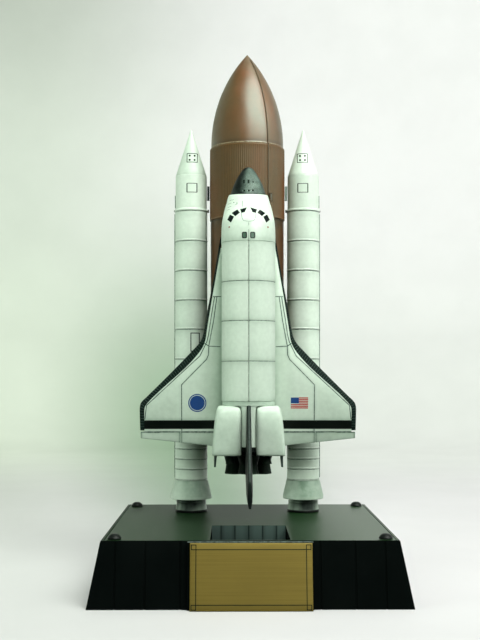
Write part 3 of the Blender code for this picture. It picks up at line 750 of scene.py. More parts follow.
@dataclass(frozen=True)
class Finish:
    """What a piece is finished with; each kind builds its own material."""

    name: str
    slot: str = ""

    def material(self) -> bpy.types.Material:
        """The finish's material, built the first time that it is asked for."""
        found = bpy.data.materials.get(self.name)
        if found:
            return found
        made = bpy.data.materials.new(self.name)
        made.use_nodes = True
        graph = Graph(made.node_tree)
        self.fill(graph, made.node_tree.nodes["Principled BSDF"].inputs)
        return made

    def fill(self, graph: Graph, shader: object) -> None:
        """Join the finish's nodes to the shader's sockets."""
        raise NotImplementedError

    @staticmethod
    def relief(graph: Graph, shader: object, height: object, depth: float) -> None:
        """Join a height to the shader's normal, with a depth in metres."""
        bumped = graph.add("ShaderNodeBump", {"Height": height, "Distance": depth})
        graph.feed(shader["Normal"], bumped.outputs[0])


@dataclass(frozen=True)
class Paint(Finish):
    """Sprayed paint with airbrushed shading, inked lines, rubbed edges and black areas, over which painted
    shade, painted highlights and painted reflections are laid where a piece marks them.
    """

    colour: Colour = (0.77, 0.85, 0.77)
    second: Colour = (0.73, 0.815, 0.735)    # the other tone of its unevenness
    # painted shade, and airbrushed shading beside lines
    shade: Colour = (0.18, 0.27, 0.20)
    ink: Colour = (0.030, 0.065, 0.056)
    # rubbed edges, and painted highlights
    worn: Colour = (0.88, 0.90, 0.88)
    dark: Colour = (0.002, 0.004, 0.003)
    roughness: float = 0.42
    specular: float = 0.28
    tint: Colour = (1.0, 1.0, 1.0)           # of its highlights
    coat: float = 0.0                        # gloss coat wherever it is marked for shade and sheen
    coat_roughness: float = 0.36
    metallic: float = 0.0
    scale: float = 55.0
    stretch: float = 0.6
    speck: float = 0.03
    shade_and_sheen_break: float = 0.10
    grain: float = 2600.0
    relief_depth: float = 0.00003
    uneven: float = 0.05                     # how much its roughness wanders
    engraved: float = 3.0                    # depth of inked lines, against the grain's
    halo: float = 0.34                       # shading beside engraved lines
    lines: tuple = ()                        # engraved lines as (start, end) in millimetres

    def fill(self, graph: Graph, shader: object) -> None:
        """Lay the tones, the airbrushing with the painted shade, the rubbed edges with the painted
        highlights, the black and the ink over each other.

        Args:
            graph: the material's graph.
            shader: the shader's inputs.
        """
        uneven, = graph.group(mottle_group(), Scale=self.scale, Stretch=self.stretch, Low=0.0, High=1.0)
        speck, = graph.group(mottle_group(), Scale=self.scale * 9, Stretch=1.0, Low=1 - self.speck,
                             High=1 + self.speck)
        wash, ink = graph.mark(Mark.WASH), graph.mark(Mark.INK)
        for start, end in self.lines:
            line, halo = graph.group(panel_line_group(), Start=(start[0], 0, start[1]),
                                     End=(end[0], 0, end[1]))
            ink = graph.math("MAXIMUM", ink, line)
            wash = graph.math("MAXIMUM", wash, graph.times(halo, self.halo))
        wash, = graph.group(airbrush_group(), Amount=wash, Scale=260.0, Break=self.shade_and_sheen_break)
        rubbed, = graph.group(airbrush_group(), Amount=graph.mark(Mark.WORN), Scale=900.0, Break=0.6)
        inked, = graph.group(airbrush_group(), Amount=ink, Scale=700.0, Break=0.25)
        colour = graph.tinted(graph.mix(uneven, self.colour, self.second), speck)
        # the shade colour lays painted shade and reflection, the worn colour rubbing and painted highlights
        for share, tone in ((wash, self.shade), (rubbed, self.worn), (graph.mark(Mark.DARK), self.dark),
                            (inked, self.ink)):
            colour = graph.mix(share, colour, tone)
        graph.feed(shader["Base Color"], colour)
        grain, roughness = graph.group(surface_group(), Scale=self.grain, Roughness=self.roughness,
                                       Spread=self.uneven)
        graph.feed(shader["Roughness"], roughness)
        if self.coat:
            graph.feed(shader["Coat Weight"], graph.times(wash, self.coat))
            graph.feed(shader["Coat Roughness"], self.coat_roughness)
        graph.feed(shader["Specular Tint"], self.tint)
        graph.feed(shader["Metallic"], self.metallic)
        graph.feed(shader["Specular IOR Level"], self.specular)
        height = graph.math("SUBTRACT", grain, graph.times(ink, self.engraved))
        self.relief(graph, shader, height, self.relief_depth)


@dataclass(frozen=True)
class Brass(Finish):
    """Brushed metal of the plate, with its grain along X."""

    colour: Colour = (0.212, 0.151, 0.028)
    second: Colour = (0.186, 0.132, 0.024)
    roughness: float = 0.50
    metallic: float = 0.6
    stretch: tuple[float, float, float] = (18.0, 1500.0, 1500.0)    # the grain's scale along each axis

    def fill(self, graph: Graph, shader: object) -> None:
        """Noise drawn out along X gives the brushed lines in colour, roughness and height.

        Args:
            graph: the material's graph.
            shader: the shader's inputs.
        """
        brushed = graph.noise(graph.vector("MULTIPLY", graph.place(), self.stretch), 1.0, 5.0)
        cloud = graph.noise(graph.place(), 45.0, 3.0)
        tone = graph.math("ADD", graph.times(brushed, 0.6), graph.times(cloud, 0.4))
        share = graph.spread(tone, 0.35, 0.65, 0.0, 1.0)
        graph.feed(shader["Base Color"], graph.mix(share, self.colour, self.second))
        rough = graph.spread(brushed, *NOISE_ENDS, self.roughness, self.roughness + 0.1)
        graph.feed(shader["Roughness"], rough)
        graph.feed(shader["Metallic"], self.metallic)
        self.relief(graph, shader, brushed, 0.000015)


@dataclass(frozen=True)
class Backdrop(Finish):
    """Pale paper of floor and wall with painted light: dimmer to the left and high up, lighter low on the
    left and darker low on the right, and a painted soft shadow behind the stack.
    """

    left: Colour = (0.73, 0.745, 0.71)
    right: Colour = (0.965, 0.905, 0.972)
    low_light_left: Colour = (1.13, 1.15, 1.10)    # painted light low on the wall: what becomes of the colour there
    low_light_right: Colour = (0.90, 0.935, 0.885)
    shade: Colour = (0.42, 0.56, 0.42)       # what the painted shadow leaves of the colour
    sides: tuple[float, float] = (-0.38, 0.06)    # from the left colour to the right one, in metres
    floor: float = 0.735                     # painted level of the floor against the wall
    front: float = 0.88                      # painted level of the floor in front of the stack, against the floor under it
    high: tuple[float, float] = (0.27, 0.02)  # painted dimming high up, on the left and on the right
    drift: float = 0.08                      # how far it moves to the left with distance
    width: tuple[float, float] = (0.085, 0.165)  # half its width at the stack, and its gain with distance
    height: float = 0.44

    def fill(self, graph: Graph, shader: object) -> None:
        """Mix the painted light of left and right along X, then paint the shadow darker by the distance from
        its middle, and paint the light by height and depth.

        Args:
            graph: the material's graph.
            shader: the shader's inputs.
        """
        x, y, z = graph.axes(graph.place())
        across = graph.spread(x, *self.sides, 0.0, 1.0)
        colour = graph.mix(across, self.left, self.right)
        behind = graph.math("MAXIMUM", y, 0.0)
        aside = graph.math("ADD", x, graph.times(behind, self.drift))
        half = graph.math("ADD", graph.times(behind, self.width[1]), self.width[0])
        spot = graph.joined(graph.math("DIVIDE", aside, half), graph.math("DIVIDE", z, self.height))
        near = graph.spread(graph.vector("LENGTH", spot), 0.0, 1.0, 1.0, 0.0)
        near = graph.times(near, graph.spread(y, 0.0, 0.35, 0.0, 1.0))
        colour = graph.mix(near, colour, graph.tinted(colour, self.shade))
        # painted light low on the wall, lighter on the left and darker on the right
        low = graph.times(graph.spread(z, 0.0, 0.42, 1.0, 0.0), graph.spread(y, 0.3, 0.8, 0.0, 1.0))
        low_light = graph.mix(across, self.low_light_left, self.low_light_right)
        colour = graph.mix(low, colour, graph.tinted(colour, low_light))
        dim = graph.spread(x, -0.45, 0.30, self.high[0], self.high[1])
        high = graph.math("SUBTRACT", 1.0, graph.times(dim, graph.spread(z, 0.43, 0.76, 0.0, 1.0)))
        level = graph.math("MAXIMUM", graph.spread(y, 0.35, 0.85, self.floor, 0.93),
                           graph.spread(z, 0.0, 0.25, self.floor, 1.0))
        level = graph.times(level, graph.spread(y, -0.14, 0.0, self.front, 1.0))
        paper, = graph.group(mottle_group(), Scale=14.0, Stretch=1.0, Low=0.985, High=1.015)
        graph.feed(shader["Base Color"], graph.tinted(colour, graph.times(high, graph.times(level, paper))))
        graph.feed(shader["Roughness"], 0.8)
        graph.feed(shader["Specular IOR Level"], 0.1)


WHITE = Paint("white_model_paint", "white_paint")
BROWN = Paint("brown_tank_paint", "tank_brown", colour=(0.205, 0.060, 0.018), second=(0.112, 0.066, 0.026),
              shade=(0.042, 0.019, 0.006), ink=(0.030, 0.020, 0.012), worn=(0.50, 0.42, 0.28),
              roughness=0.38, specular=0.98, tint=(0.71, 0.98, 0.96), scale=45.0, stretch=0.35, speck=0.04,
              relief_depth=0.000005)
BARREL_BROWN = replace(BROWN, name="brown_barrel_paint", colour=(0.215, 0.066, 0.020),
                       second=(0.125, 0.070, 0.026), specular=0.50, tint=(0.70, 1.0, 0.92))
# its dark colour is a painted shadow on the bar's right face
TRAY = Paint("brown_tray_paint", "tank_brown", colour=(0.120, 0.085, 0.050), second=(0.090, 0.060, 0.034),
             dark=(0.012, 0.011, 0.009), roughness=0.5, specular=0.3)
BLACK = Paint("black_trim_paint", "black_paint", colour=(0.012, 0.017, 0.016), second=(0.020, 0.027, 0.025),
              shade=(0.006, 0.008, 0.008), ink=(0.004, 0.005, 0.005), worn=(0.30, 0.36, 0.32),
              roughness=0.50, specular=0.2)
SOOT = Paint("sooty_black", "black_paint", colour=(0.001, 0.003, 0.002), second=(0.008, 0.015, 0.010),
             shade=(0.001, 0.001, 0.001), worn=(0.028, 0.046, 0.034), roughness=0.6, specular=0.06,
             scale=420.0, stretch=0.08)
EDGE_BLACK = Paint("black_edge_paint", "black_paint", colour=(0.004, 0.010, 0.008),
                   second=(0.008, 0.016, 0.013), worn=(0.22, 0.30, 0.27), roughness=0.6, specular=0.05)
CAP_GREY = Paint("grey_cap_paint", "cap_grey", colour=(0.060, 0.092, 0.077), second=(0.120, 0.172, 0.145),
                 shade=(0.003, 0.006, 0.005), roughness=0.5, specular=0.25, scale=300.0, stretch=0.8,
                 speck=0.4)
NOZZLE = Paint("grey_nozzle_paint", "nozzle_grey", colour=(0.36, 0.44, 0.37), second=(0.050, 0.064, 0.056),
               shade=(0.012, 0.018, 0.016), dark=(0.008, 0.009, 0.009), worn=(0.40, 0.42, 0.40),
               roughness=0.34, metallic=0.3, scale=150.0, stretch=0.25)
# On the deck its shade colour is a painted green reflection where it is glossy, its dark colour paints light
# on the recess's back wall, and its worn colour paints a highlight along the boss's top edge.
BASE = Paint("black_base_plastic", "base_black", colour=(0.0022, 0.0032, 0.0031),
             second=(0.0034, 0.0046, 0.0044), shade=(0.009, 0.040, 0.008), dark=(0.050, 0.072, 0.068),
             worn=(0.30, 0.36, 0.33), roughness=0.30, specular=0.0, coat=1.0, shade_and_sheen_break=0.0, scale=30.0,
             stretch=1.0, grain=1500.0, relief_depth=0.000003, uneven=0.01)
STUD = Paint("black_stud_gloss", "base_black", colour=(0.004, 0.005, 0.005), second=(0.007, 0.009, 0.008),
             roughness=0.40, specular=0.15, relief_depth=0.00001)
GLASS = Paint("black_window_gloss", "black_paint", colour=(0.004, 0.007, 0.007), second=(0.010, 0.016, 0.015),
              roughness=0.12, specular=0.08, relief_depth=0.000005)
INK = Paint("panel_ink", "black_paint", colour=(0.030, 0.058, 0.050), second=(0.050, 0.085, 0.075),
            roughness=0.5, relief_depth=0.00001)
BLUE = Paint("blue_marking", "", colour=(0.016, 0.060, 0.235), second=(0.030, 0.085, 0.275), roughness=0.35)
RED = Paint("red_marking", "", colour=(0.480, 0.030, 0.022), second=(0.520, 0.055, 0.040), roughness=0.4)
PALE = Paint("pale_marking", "", colour=(0.62, 0.70, 0.66), second=(0.68, 0.75, 0.71), roughness=0.4)
PLATE = Brass("brushed_plate_metal", "plate_gold")
ROOF_PANE = Paint("green_roof_pane", "black_paint", colour=(0.050, 0.100, 0.072),
                  second=(0.100, 0.170, 0.125), roughness=0.18, scale=400.0)
FAINT = Paint("faint_panel_ink", "white_paint", colour=(0.13, 0.19, 0.165), second=(0.22, 0.29, 0.26),
              roughness=0.5)
RUST = Paint("rust_dot", "", colour=(0.26, 0.12, 0.08), second=(0.34, 0.18, 0.12), roughness=0.5)
TAIL_GREY = Paint("grey_tail_paint", "white_paint", colour=(0.34, 0.41, 0.37), second=(0.22, 0.28, 0.25),
                  shade=(0.05, 0.07, 0.065), roughness=0.4)
# its worn colour paints the highlight down the fin's edge
FIN_DARK = Paint("fin_paint", "white_paint", colour=(0.014, 0.023, 0.019), second=(0.009, 0.015, 0.012),
                  shade=(0.004, 0.006, 0.006), worn=(0.20, 0.25, 0.235), roughness=0.45, specular=0.15)
# Engraved lines of the wing as (distance from the middle, height) from corner to corner
WING_LINES = (
    ((18.5, 149.5), (14.5, 149.5)),
    ((17.9, 149.4), (19.9, 137.1), (21.1, 129.0), (22.0, 125.4), (25.7, 117.9), (54.2, 91.5), (55.1, 84.1)),
    ((16.6, 149.4), (18.3, 137.1), (20.9, 123.3), (21.1, 118.5), (22.1, 116.1), (35.45, 102.5),
     (35.45, 83.7)),
    ((24.0, 125.2), (20.9, 123.1), (14.9, 122.8)),
    ((35.45, 79.2), (35.45, 77.8)),
)
WING_WHITE = Paint("white_wing_paint", "white_paint",
                   lines=tuple(pair for line in WING_LINES for pair in zip(line, line[1:])))


# Studio


@dataclass(frozen=True)
class Light:
    """One soft light: where it stands and looks in stack millimetres, its size and its power in watts."""

    name: str
    place: tuple[float, float, float]
    target: tuple[float, float, float]
    size: float
    power: float
    colour: Colour = (0.88, 1.0, 0.87)
    shine: bool = True                       # whether it shows as a highlight
    fill: bool = True                        # whether it lights the paint itself


@dataclass(frozen=True)
class Studio:
    """Camera at the photograph's place, a round pale cove and soft lights."""

    eye: tuple[float, float, float] = (-8.6, -591.5, 110.4)
    turn_deg: float = 0.44                   # to the right
    lens: float = 59.06
    rise: float = 50 / 640                   # the level view's horizon lies this far below its middle
    floor_r: float = 900.0
    bend_r: float = 260.0
    wall_high: float = 1500.0
    columns: int = 96
    sky: float = 0.06
    lights: tuple[Light, ...] = (
        Light("key_light", (370.0, -800.0, 1050.0), (0.0, -20.0, 170.0), 1.05, 27.0, (0.92, 1.0, 0.90),
              shine=False),
        Light("shine_light", (500.0, -720.0, 1030.0), (0.0, -20.0, 220.0), 1.2, 34.0, (0.95, 1.0, 0.92),
              fill=False),
        Light("right_light", (850.0, -250.0, 500.0), (0.0, -20.0, 170.0), 0.7, 2.3),
        Light("wall_light", (100.0, 450.0, 1300.0), (0.0, 1150.0, 300.0), 0.9, 3.2),
        Light("left_fill", (-820.0, -420.0, 380.0), (0.0, -20.0, 170.0), 0.8, 4.8, (0.82, 1.0, 0.82),
              shine=False),
        Light("front_fill", (-150.0, -1150.0, 160.0), (0.0, -20.0, 120.0), 0.6, 1.5, (0.80, 1.0, 0.80),
              shine=False),
    )

    def place_camera(self) -> None:
        """Set up a level camera whose small shift keeps the stack upright in the frame."""
        lens = bpy.data.cameras.new("camera")
        lens.lens, lens.sensor_width, lens.shift_y = self.lens, 36.0, self.rise
        lens.clip_start, lens.clip_end = 0.01, 20.0
        camera = linked("camera", lens)
        camera.location = framed(np.array(self.eye))
        camera.rotation_euler = (math.radians(90.0), 0.0, -math.radians(self.turn_deg))
        bpy.context.scene.camera = camera

    def raise_cove(self) -> None:
        """Turn the floor, the bend and the wall, in two halves; the one behind the viewer gives no light."""
        bend = arc((self.floor_r, self.bend_r), self.bend_r, -90.0, 0.0, 24)
        wall = (self.floor_r + self.bend_r, self.wall_high)
        whole = turned(np.concatenate([[(0.0, 0.0), (self.floor_r * 0.5, 0.0)], bend, [wall]]), self.columns)
        half = self.columns // 2
        ring = np.concatenate([whole.points, whole.points[:, :1]], 1)
        for name, grid in (("cove_back", ring[:, :half + 1]), ("cove_front", ring[:, half:])):
            mesh = welded_mesh(name, [Patch(grid)])
            mesh.shade_smooth()
            mesh.materials.append(Backdrop("pale_backdrop_paper").material())
            cove = linked(name, mesh)
            cove.visible_diffuse = cove.visible_glossy = name == "cove_back"

    def light_world(self) -> None:
        """Give the world a faint light from above."""
        world = bpy.data.worlds.new("soft_world")
        world.use_nodes = True
        graph = Graph(world.node_tree)
        sky = world.node_tree.nodes["Background"].inputs
        _, _, up = graph.axes(graph.add("ShaderNodeTexCoord").outputs["Generated"])
        share = graph.spread(up, 0.15, 0.9, 0.0, 1.0)
        graph.feed(sky["Color"], graph.mix(share, (0.02, 0.025, 0.02), (0.93, 1.0, 0.94)))
        graph.feed(sky["Strength"], self.sky)
        bpy.context.scene.world = world

    def hang_lamps(self) -> None:
        """Make the square lamps and turn each to its target."""
        for light in self.lights:
            lamp = bpy.data.lights.new(light.name, "AREA")
            lamp.shape = "SQUARE"
            lamp.size, lamp.energy, lamp.color = light.size, light.power, light.colour
            holder = linked(light.name, lamp)
            place = np.array(light.place)
            aim = np.array(light.target) - place
            holder.location = framed(place)
            holder.rotation_euler = (math.atan2(math.hypot(aim[0], aim[1]), -aim[2]), 0.0,
                                     math.atan2(-aim[0], aim[1]))
            holder.visible_camera = False
            holder.visible_glossy, holder.visible_diffuse = light.shine, light.fill

    def build(self) -> None:
        """Make the camera, the cove, the world's light and the lamps."""
        bpy.context.scene.view_settings.view_transform = "Standard"
        self.place_camera()
        self.raise_cove()
        self.light_world()
        self.hang_lamps()


# Plinth


@dataclass
class Plinth:
    """Black plinth: grooved leaning walls, ribbed recess, boss, studs and the blank plate."""

    top_z: float = 30.9
    middle_y: float = -36.2
    half_x: float = 69.9
    half_y: float = 66.3
    flare: float = 6.0
    wall: float = 2.0
    edge_r: float = 0.4                      # rounding of the top edge
    deck_inset: float = 0.8
    groove_half: float = 0.45
    groove_slope: float = 0.15
    groove_depth: float = 0.45
    front_grooves: tuple[float, ...] = (-62.9, -48.9, -32.6, 32.6, 48.9, 62.9)
    side_pitch: float = 14.0
    side_count: int = 10
    seam_x: float = 68.4
    seam_half: float = 0.25
    seam_deep: float = 0.4
    pit_half_x: float = 18.9
    pit_back_y: float = -54.7
    pit_front_y: float = -100.2
    pit_depth: float = 10.0
    pit_shell: float = 1.5                   # what its walls stand out below the ceiling
    lip: tuple[float, ...] = (0.0, 0.05, 0.10, 0.14)    # in from the recess's outline
    lip_drop: tuple[float, ...] = (0.0, 0.02, 0.12)     # how far the lip has fallen there
    rib_x: tuple[float, ...] = (-14.1, -7.1, 0.0, 7.1, 14.1)
    rib_half: float = 0.35
    rib_deep: float = 0.6
    pin_hole: tuple[float, float, float] = (-0.4, -31.3, 0.6)    # x, y and radius
    boss_half_x: float = 29.2
    boss_proud: float = 2.5
    plate_x: float = 0.3
    plate_half_x: float = 28.3
    plate_low_z: float = 0.12
    plate_high_z: float = 30.3
    plate_thick: float = 1.2
    border_inset: float = 2.8
    border_square: float = 2.1
    border_width: float = 0.38
    stud_x: float = 63.9
    stud_y: tuple[float, float] = (-97.2, 21.5)

    def side_grooves(self) -> np.ndarray:
        """Where grooves cross a side or back wall, from its middle."""
        return (np.arange(self.side_count) - (self.side_count - 1) / 2) * self.side_pitch

    def groove(self, along: np.ndarray, centres: Sequence[float]) -> np.ndarray:
        """Depth of the wall's grooves at places along it: flat floors with short sloping sides."""
        apart = np.abs(along[:, None] - np.asarray(centres)).min(1)
        return self.groove_depth * np.clip((self.groove_half - apart) / self.groove_slope, 0.0, 1.0)

    def lines(self) -> tuple[np.ndarray, np.ndarray]:
        """Lines of the deck's grid, set close together wherever its height changes.

        Returns:
            The lines' x and y.
        """
        steps = np.array(self.lip)
        grooves = np.array([-self.groove_half, self.groove_slope - self.groove_half,
                            self.groove_half - self.groove_slope, self.groove_half])
        reach_x, reach_y = self.half_x - self.deck_inset, self.half_y - self.deck_inset
        seam = self.seam_x + np.array([-0.25, -0.2, 0.2, 0.25])
        ribs = np.array(self.rib_x)[:, None] + np.concatenate([steps - self.rib_half, self.rib_half - steps])
        grooves_x = np.concatenate([np.array(self.front_grooves), self.side_grooves()])[:, None] + grooves
        x = rows_between(-reach_x, reach_x, 3.0, self.pit_half_x - steps, steps - self.pit_half_x, seam,
                         -seam, ribs, grooves_x)
        pit = np.concatenate([self.pit_back_y - steps, self.pit_back_y + self.rib_deep - steps,
                              self.pit_front_y + steps]) - self.middle_y
        grooves_y = self.side_grooves()[:, None] + grooves
        return x, rows_between(-reach_y, reach_y, 3.0, pit, grooves_y) + self.middle_y

    def deck_height(self, x: np.ndarray, y: np.ndarray) -> np.ndarray:
        """Height of the deck: the top, less the recess with its ribs and the two seams.

        The recess falls by its depth within 0.14 mm of its outline, over a small rounded lip.

        Args:
            x: distances to the right.
            y: depths.

        Returns:
            The heights.
        """
        inside = np.minimum(y - self.pit_front_y, self.pit_back_y - y)
        inside = np.minimum(self.pit_half_x - np.abs(x), inside)
        rib = self.rib_half - np.abs(x[..., None] - np.array(self.rib_x)).min(-1)
        rib = np.minimum(rib, np.minimum(self.pit_back_y + self.rib_deep - y, y - self.pit_back_y + 1.0))
        drop = np.interp(np.maximum(inside, rib), self.lip, (*self.lip_drop, self.pit_depth))
        seam = np.clip((self.seam_half - np.abs(np.abs(x) - self.seam_x)) / 0.05, 0.0, 1.0)
        ends = self.half_y - self.deck_inset - np.abs(y - self.middle_y)
        return self.top_z - drop - np.where(ends > 0.02, self.seam_deep * seam, 0.0)

    @staticmethod
    def held(lines: np.ndarray, half: float) -> np.ndarray:
        """Grid lines held within a half width, the first and the last at its ends."""
        return np.concatenate([[-half], np.clip(lines[1:-1], -half, half), [half]])

    def ring(self, x: np.ndarray, y: np.ndarray, half_x: float, half_y: float, inset: float, z: float,
             grooved: bool) -> np.ndarray:
        """One closed outline of the plinth through the ends of the deck's grid lines.

        Args:
            x: the deck's lines across.
            y: the deck's lines into it.
            half_x: half width at this height.
            half_y: half depth at this height.
            inset: how far the outline is moved in.
            z: its height.
            grooved: whether the walls' grooves cut into it.

        Returns:
            The outline's points, from the front left corner, counter-clockwise.
        """
        across = self.held(x, half_x - inset)
        into = self.held(y - self.middle_y, half_y - inset)
        cut = 1.0 if grooved else 0.0
        front = np.maximum(inset, cut * self.groove(across, self.front_grooves))
        back = np.maximum(inset, cut * self.groove(across, self.side_grooves()))
        flank = np.maximum(inset, cut * self.groove(into, self.side_grooves()))
        loop = [np.stack([across, front - half_y], -1)[:-1], np.stack([half_x - flank, into], -1)[:-1],
                np.stack([across, half_y - back], -1)[:0:-1], np.stack([flank - half_x, into], -1)[:0:-1]]
        outline = np.concatenate(loop)
        return np.concatenate([outline + (0.0, self.middle_y), np.full((len(outline), 1), z)], -1)

    def walls(self, x: np.ndarray, y: np.ndarray) -> np.ndarray:
        """Outlines of the leaning walls from the foot over the rounded rim to the deck's edge.

        Args:
            x: the deck's lines across.
            y: the deck's lines into it.

        Returns:
            The grid of outlines.
        """
        low_rim = self.top_z - self.edge_r
        levels = [(z, 0.0) for z in (0.0, 0.0, 10.0, 20.0, low_rim)]
        for turn in np.radians((30.0, 60.0, 90.0)):
            levels.append((self.top_z - self.edge_r * (1 - math.sin(turn)),
                           self.edge_r * (1 - math.cos(turn))))
        rings = []
        for z, inset in levels:
            lean = self.flare * (self.top_z - z) / self.top_z
            rings.append(self.ring(x, y, self.half_x + lean, self.half_y + lean, inset, z, True))
        rings.append(self.ring(x, y, self.half_x, self.half_y, self.deck_inset, self.top_z, False))
        return np.stack(rings)

    def deck(self, x: np.ndarray, y: np.ndarray, edge: np.ndarray) -> Patch:
        """The deck, whose border is the walls' last outline, with its gloss and painted green reflection, and
        the painted light on its recess's back wall, marked.

        Args:
            x: its lines across.
            y: its lines into it.
            edge: the outline, from the front left corner, counter-clockwise.

        Returns:
            The grid.
        """
        grid_y, grid_x = np.meshgrid(y, x, indexing="ij")
        points = gather(grid_x, grid_y, self.deck_height(grid_x, grid_y))
        # gloss coat with a painted green reflection, strongest on the right
        gloss = 0.46 + 0.06 * ease(grid_x, -20.0, -70.0) + 0.54 * ease(grid_x, 10.0, 60.0)
        level = self.top_z - 0.05
        # painted light on the recess's back wall, left dark at the ribs
        painted_pit_light = ease(grid_y, self.pit_back_y - 0.3, self.pit_back_y - 0.1) * (points[..., 2] < level)
        painted_pit_light = painted_pit_light * (1 - 0.85 * bump(grid_x, self.rib_x, 0.35))
        front_right = len(x) - 1
        back_right = front_right + len(y) - 1
        back_left = back_right + len(x) - 1
        points[0], points[1:, -1] = edge[:front_right + 1], edge[front_right + 1:back_right + 1]
        points[-1] = edge[back_right:back_left + 1][::-1]
        points[:, 0] = np.concatenate([edge[:1], edge[back_left:][::-1]])
        return Patch(points, False, {Mark.WASH: gloss * (points[..., 2] > level), Mark.DARK: painted_pit_light})

    def ceiling(self, x: np.ndarray, y: np.ndarray, lean: float) -> Patch:
        """The hollow's ceiling, which falls round the recess.

        Args:
            x: the deck's lines across.
            y: the deck's lines into it.
            lean: how far the walls stand out at its height.

        Returns:
            The grid.
        """
        under_x = self.held(x, self.half_x + lean - self.wall)
        under_y = self.held(y - self.middle_y, self.half_y + lean - self.wall)
        grid_y, grid_x = np.meshgrid(under_y + self.middle_y, under_x, indexing="ij")
        box_in = np.minimum(grid_y - self.pit_front_y + 1.2, self.pit_back_y + self.pit_shell - grid_y)
        box_in = np.minimum(self.pit_half_x + self.pit_shell - np.abs(grid_x), box_in)
        fall = np.clip(box_in / 0.4, 0.0, 1.0) * (self.pit_depth + self.pit_shell - self.wall)
        return Patch(gather(grid_x, grid_y, self.top_z - self.wall - fall))

    def shell(self) -> list[Patch]:
        """The tub as closed patches: deck, rounded rim, leaning walls, foot, inner walls and ceiling."""
        x, y = self.lines()
        walls = self.walls(x, y)
        lean = self.flare * self.wall / self.top_z
        foot = self.ring(x, y, self.half_x + self.flare, self.half_y + self.flare, self.wall, 0.0, False)
        high = self.ring(x, y, self.half_x + lean, self.half_y + lean, self.wall, self.top_z - self.wall,
                         False)
        return [self.deck(x, y, walls[-1]), Patch(walls, wrap=True),
                Patch(np.stack([walls[0], foot]), wrap=True),
                Patch(np.stack([foot, high]), wrap=True), self.ceiling(x, y, lean)]

    def front_y(self, z: np.ndarray, proud: float) -> np.ndarray:
        """Depth of the leaning front wall at a height, moved out by a distance."""
        return self.middle_y - self.half_y - self.flare * (self.top_z - z) / self.top_z - proud

    def slab(self, half_x: float, x: float, low_z: float, high_z: float, inner: float, outer: float,
             edge: float) -> list[Patch]:
        """A slab parallel to the front wall with rounded front edges and a painted highlight along its top
        edge.

        Its grid runs across and up; near each edge the face falls back along a quarter circle.

        Args:
            half_x: half its width.
            x: its middle.
            low_z: its lower edge.
            high_z: its upper edge.
            inner: how far its back stands in front of the wall.
            outer: how far its face stands in front of the wall.
            edge: radius of the rounding.

        Returns:
            The patches of the closed slab.
        """
        turn = np.radians(np.linspace(0.0, 90.0, 5))
        near = edge * (1 - np.cos(turn))
        across = rows_between(-half_x, half_x, 4.0, near - half_x, half_x - near)
        up = rows_between(low_z, high_z, 4.0, low_z + near, high_z - near)
        grid_z, grid_x = np.meshgrid(up, across, indexing="ij")
        rim = np.minimum(np.minimum(half_x - np.abs(grid_x), grid_z - low_z), high_z - grid_z)
        share = 1 - np.clip(rim / edge, 0.0, 1.0)
        back_off = edge * (1 - np.sqrt(np.maximum(0.0, 1 - share ** 2)))
        face = np.stack([grid_x + x, self.front_y(grid_z, outer) + back_off, grid_z], -1)
        back = np.stack([grid_x + x, self.front_y(grid_z, inner), grid_z], -1)
        rims = [(face[0], back[0]), (face[-1], back[-1]), (face[:, 0], back[:, 0]),
                (face[:, -1], back[:, -1])]
        # a painted highlight along the top edge
        marks = {Mark.WORN: 0.5 * ease(grid_z, high_z - 0.12, high_z)}
        return [Patch(face, False, marks), Patch(back), *[Patch(np.stack(pair)) for pair in rims]]

    def plate_surface(self, x: np.ndarray, z: np.ndarray) -> np.ndarray:
        """Depth of the plate's face."""
        return self.front_y(z, self.boss_proud + SEAM + self.plate_thick) + 0.0 * x

    def build(self) -> None:
        """Make the tub with its boss, the studs, the plate, its printed border and the deck's pin hole."""
        boss = self.slab(self.boss_half_x, 0.0, 0.3, self.top_z - 0.3, -1.0, self.boss_proud, 0.35)
        make_piece("plinth_shell", self.shell() + boss, BASE, replaces=["base_shell"], sharp=30.0)
        dome = rounded([(3.3, 0.0), (3.3, 0.55), (2.35, 1.75), (1.2, 2.3), (0.0, 2.35)], 1.2, 6)
        profile = np.concatenate([[(0.0, 0.0)], dome]) + (0.0, self.top_z + SEAM)
        for depth, y in zip(("front", "back"), self.stud_y):
            for side in Side:
                stud = turned(profile, 48, side.value * self.stud_x, y)
                make_piece(f"stud_dome_{depth}_{side.label}", [stud], STUD,
                           replaces=[f"stud_{depth}_{side.label}"])
        back = self.boss_proud + SEAM
        plate = self.slab(self.plate_half_x, self.plate_x, self.plate_low_z, self.plate_high_z,
                          back, back + self.plate_thick, 0.3)
        make_piece("blank_plate", plate, PLATE, replaces=["name_plate"])
        self.border()
        x, y, reach = self.pin_hole
        radius = np.linspace(0.0, reach, 5)
        hole = np.concatenate([np.column_stack([radius, np.full(5, self.top_z + 0.02)]),
                               np.column_stack([radius[::-1], np.full(5, self.top_z - 0.08)])])
        make_piece("deck_pin_hole", [turned(hole, 16, x, y)], INK)

    def border(self) -> None:
        """Dark printed border of the plate: a thin frame with a small square at each corner."""
        inset, square = self.border_inset, self.border_square
        low_x, high_x = self.plate_x - self.plate_half_x + inset, self.plate_x + self.plate_half_x - inset
        low_z, high_z = self.plate_low_z + inset, self.plate_high_z - inset
        patches = inlay(rectangle(low_x, high_x, low_z, high_z), self.plate_surface, self.border_width,
                        closed=True, lift=0.03)
        for x, across in ((low_x, -square), (high_x, square)):
            for z, up in ((low_z, -square), (high_z, square)):
                patches += inlay(rectangle(x, x + across, z, z + up), self.plate_surface, self.border_width,
                                 closed=True, lift=0.035)
        make_piece("plate_border", patches, EDGE_BLACK)


# Tank


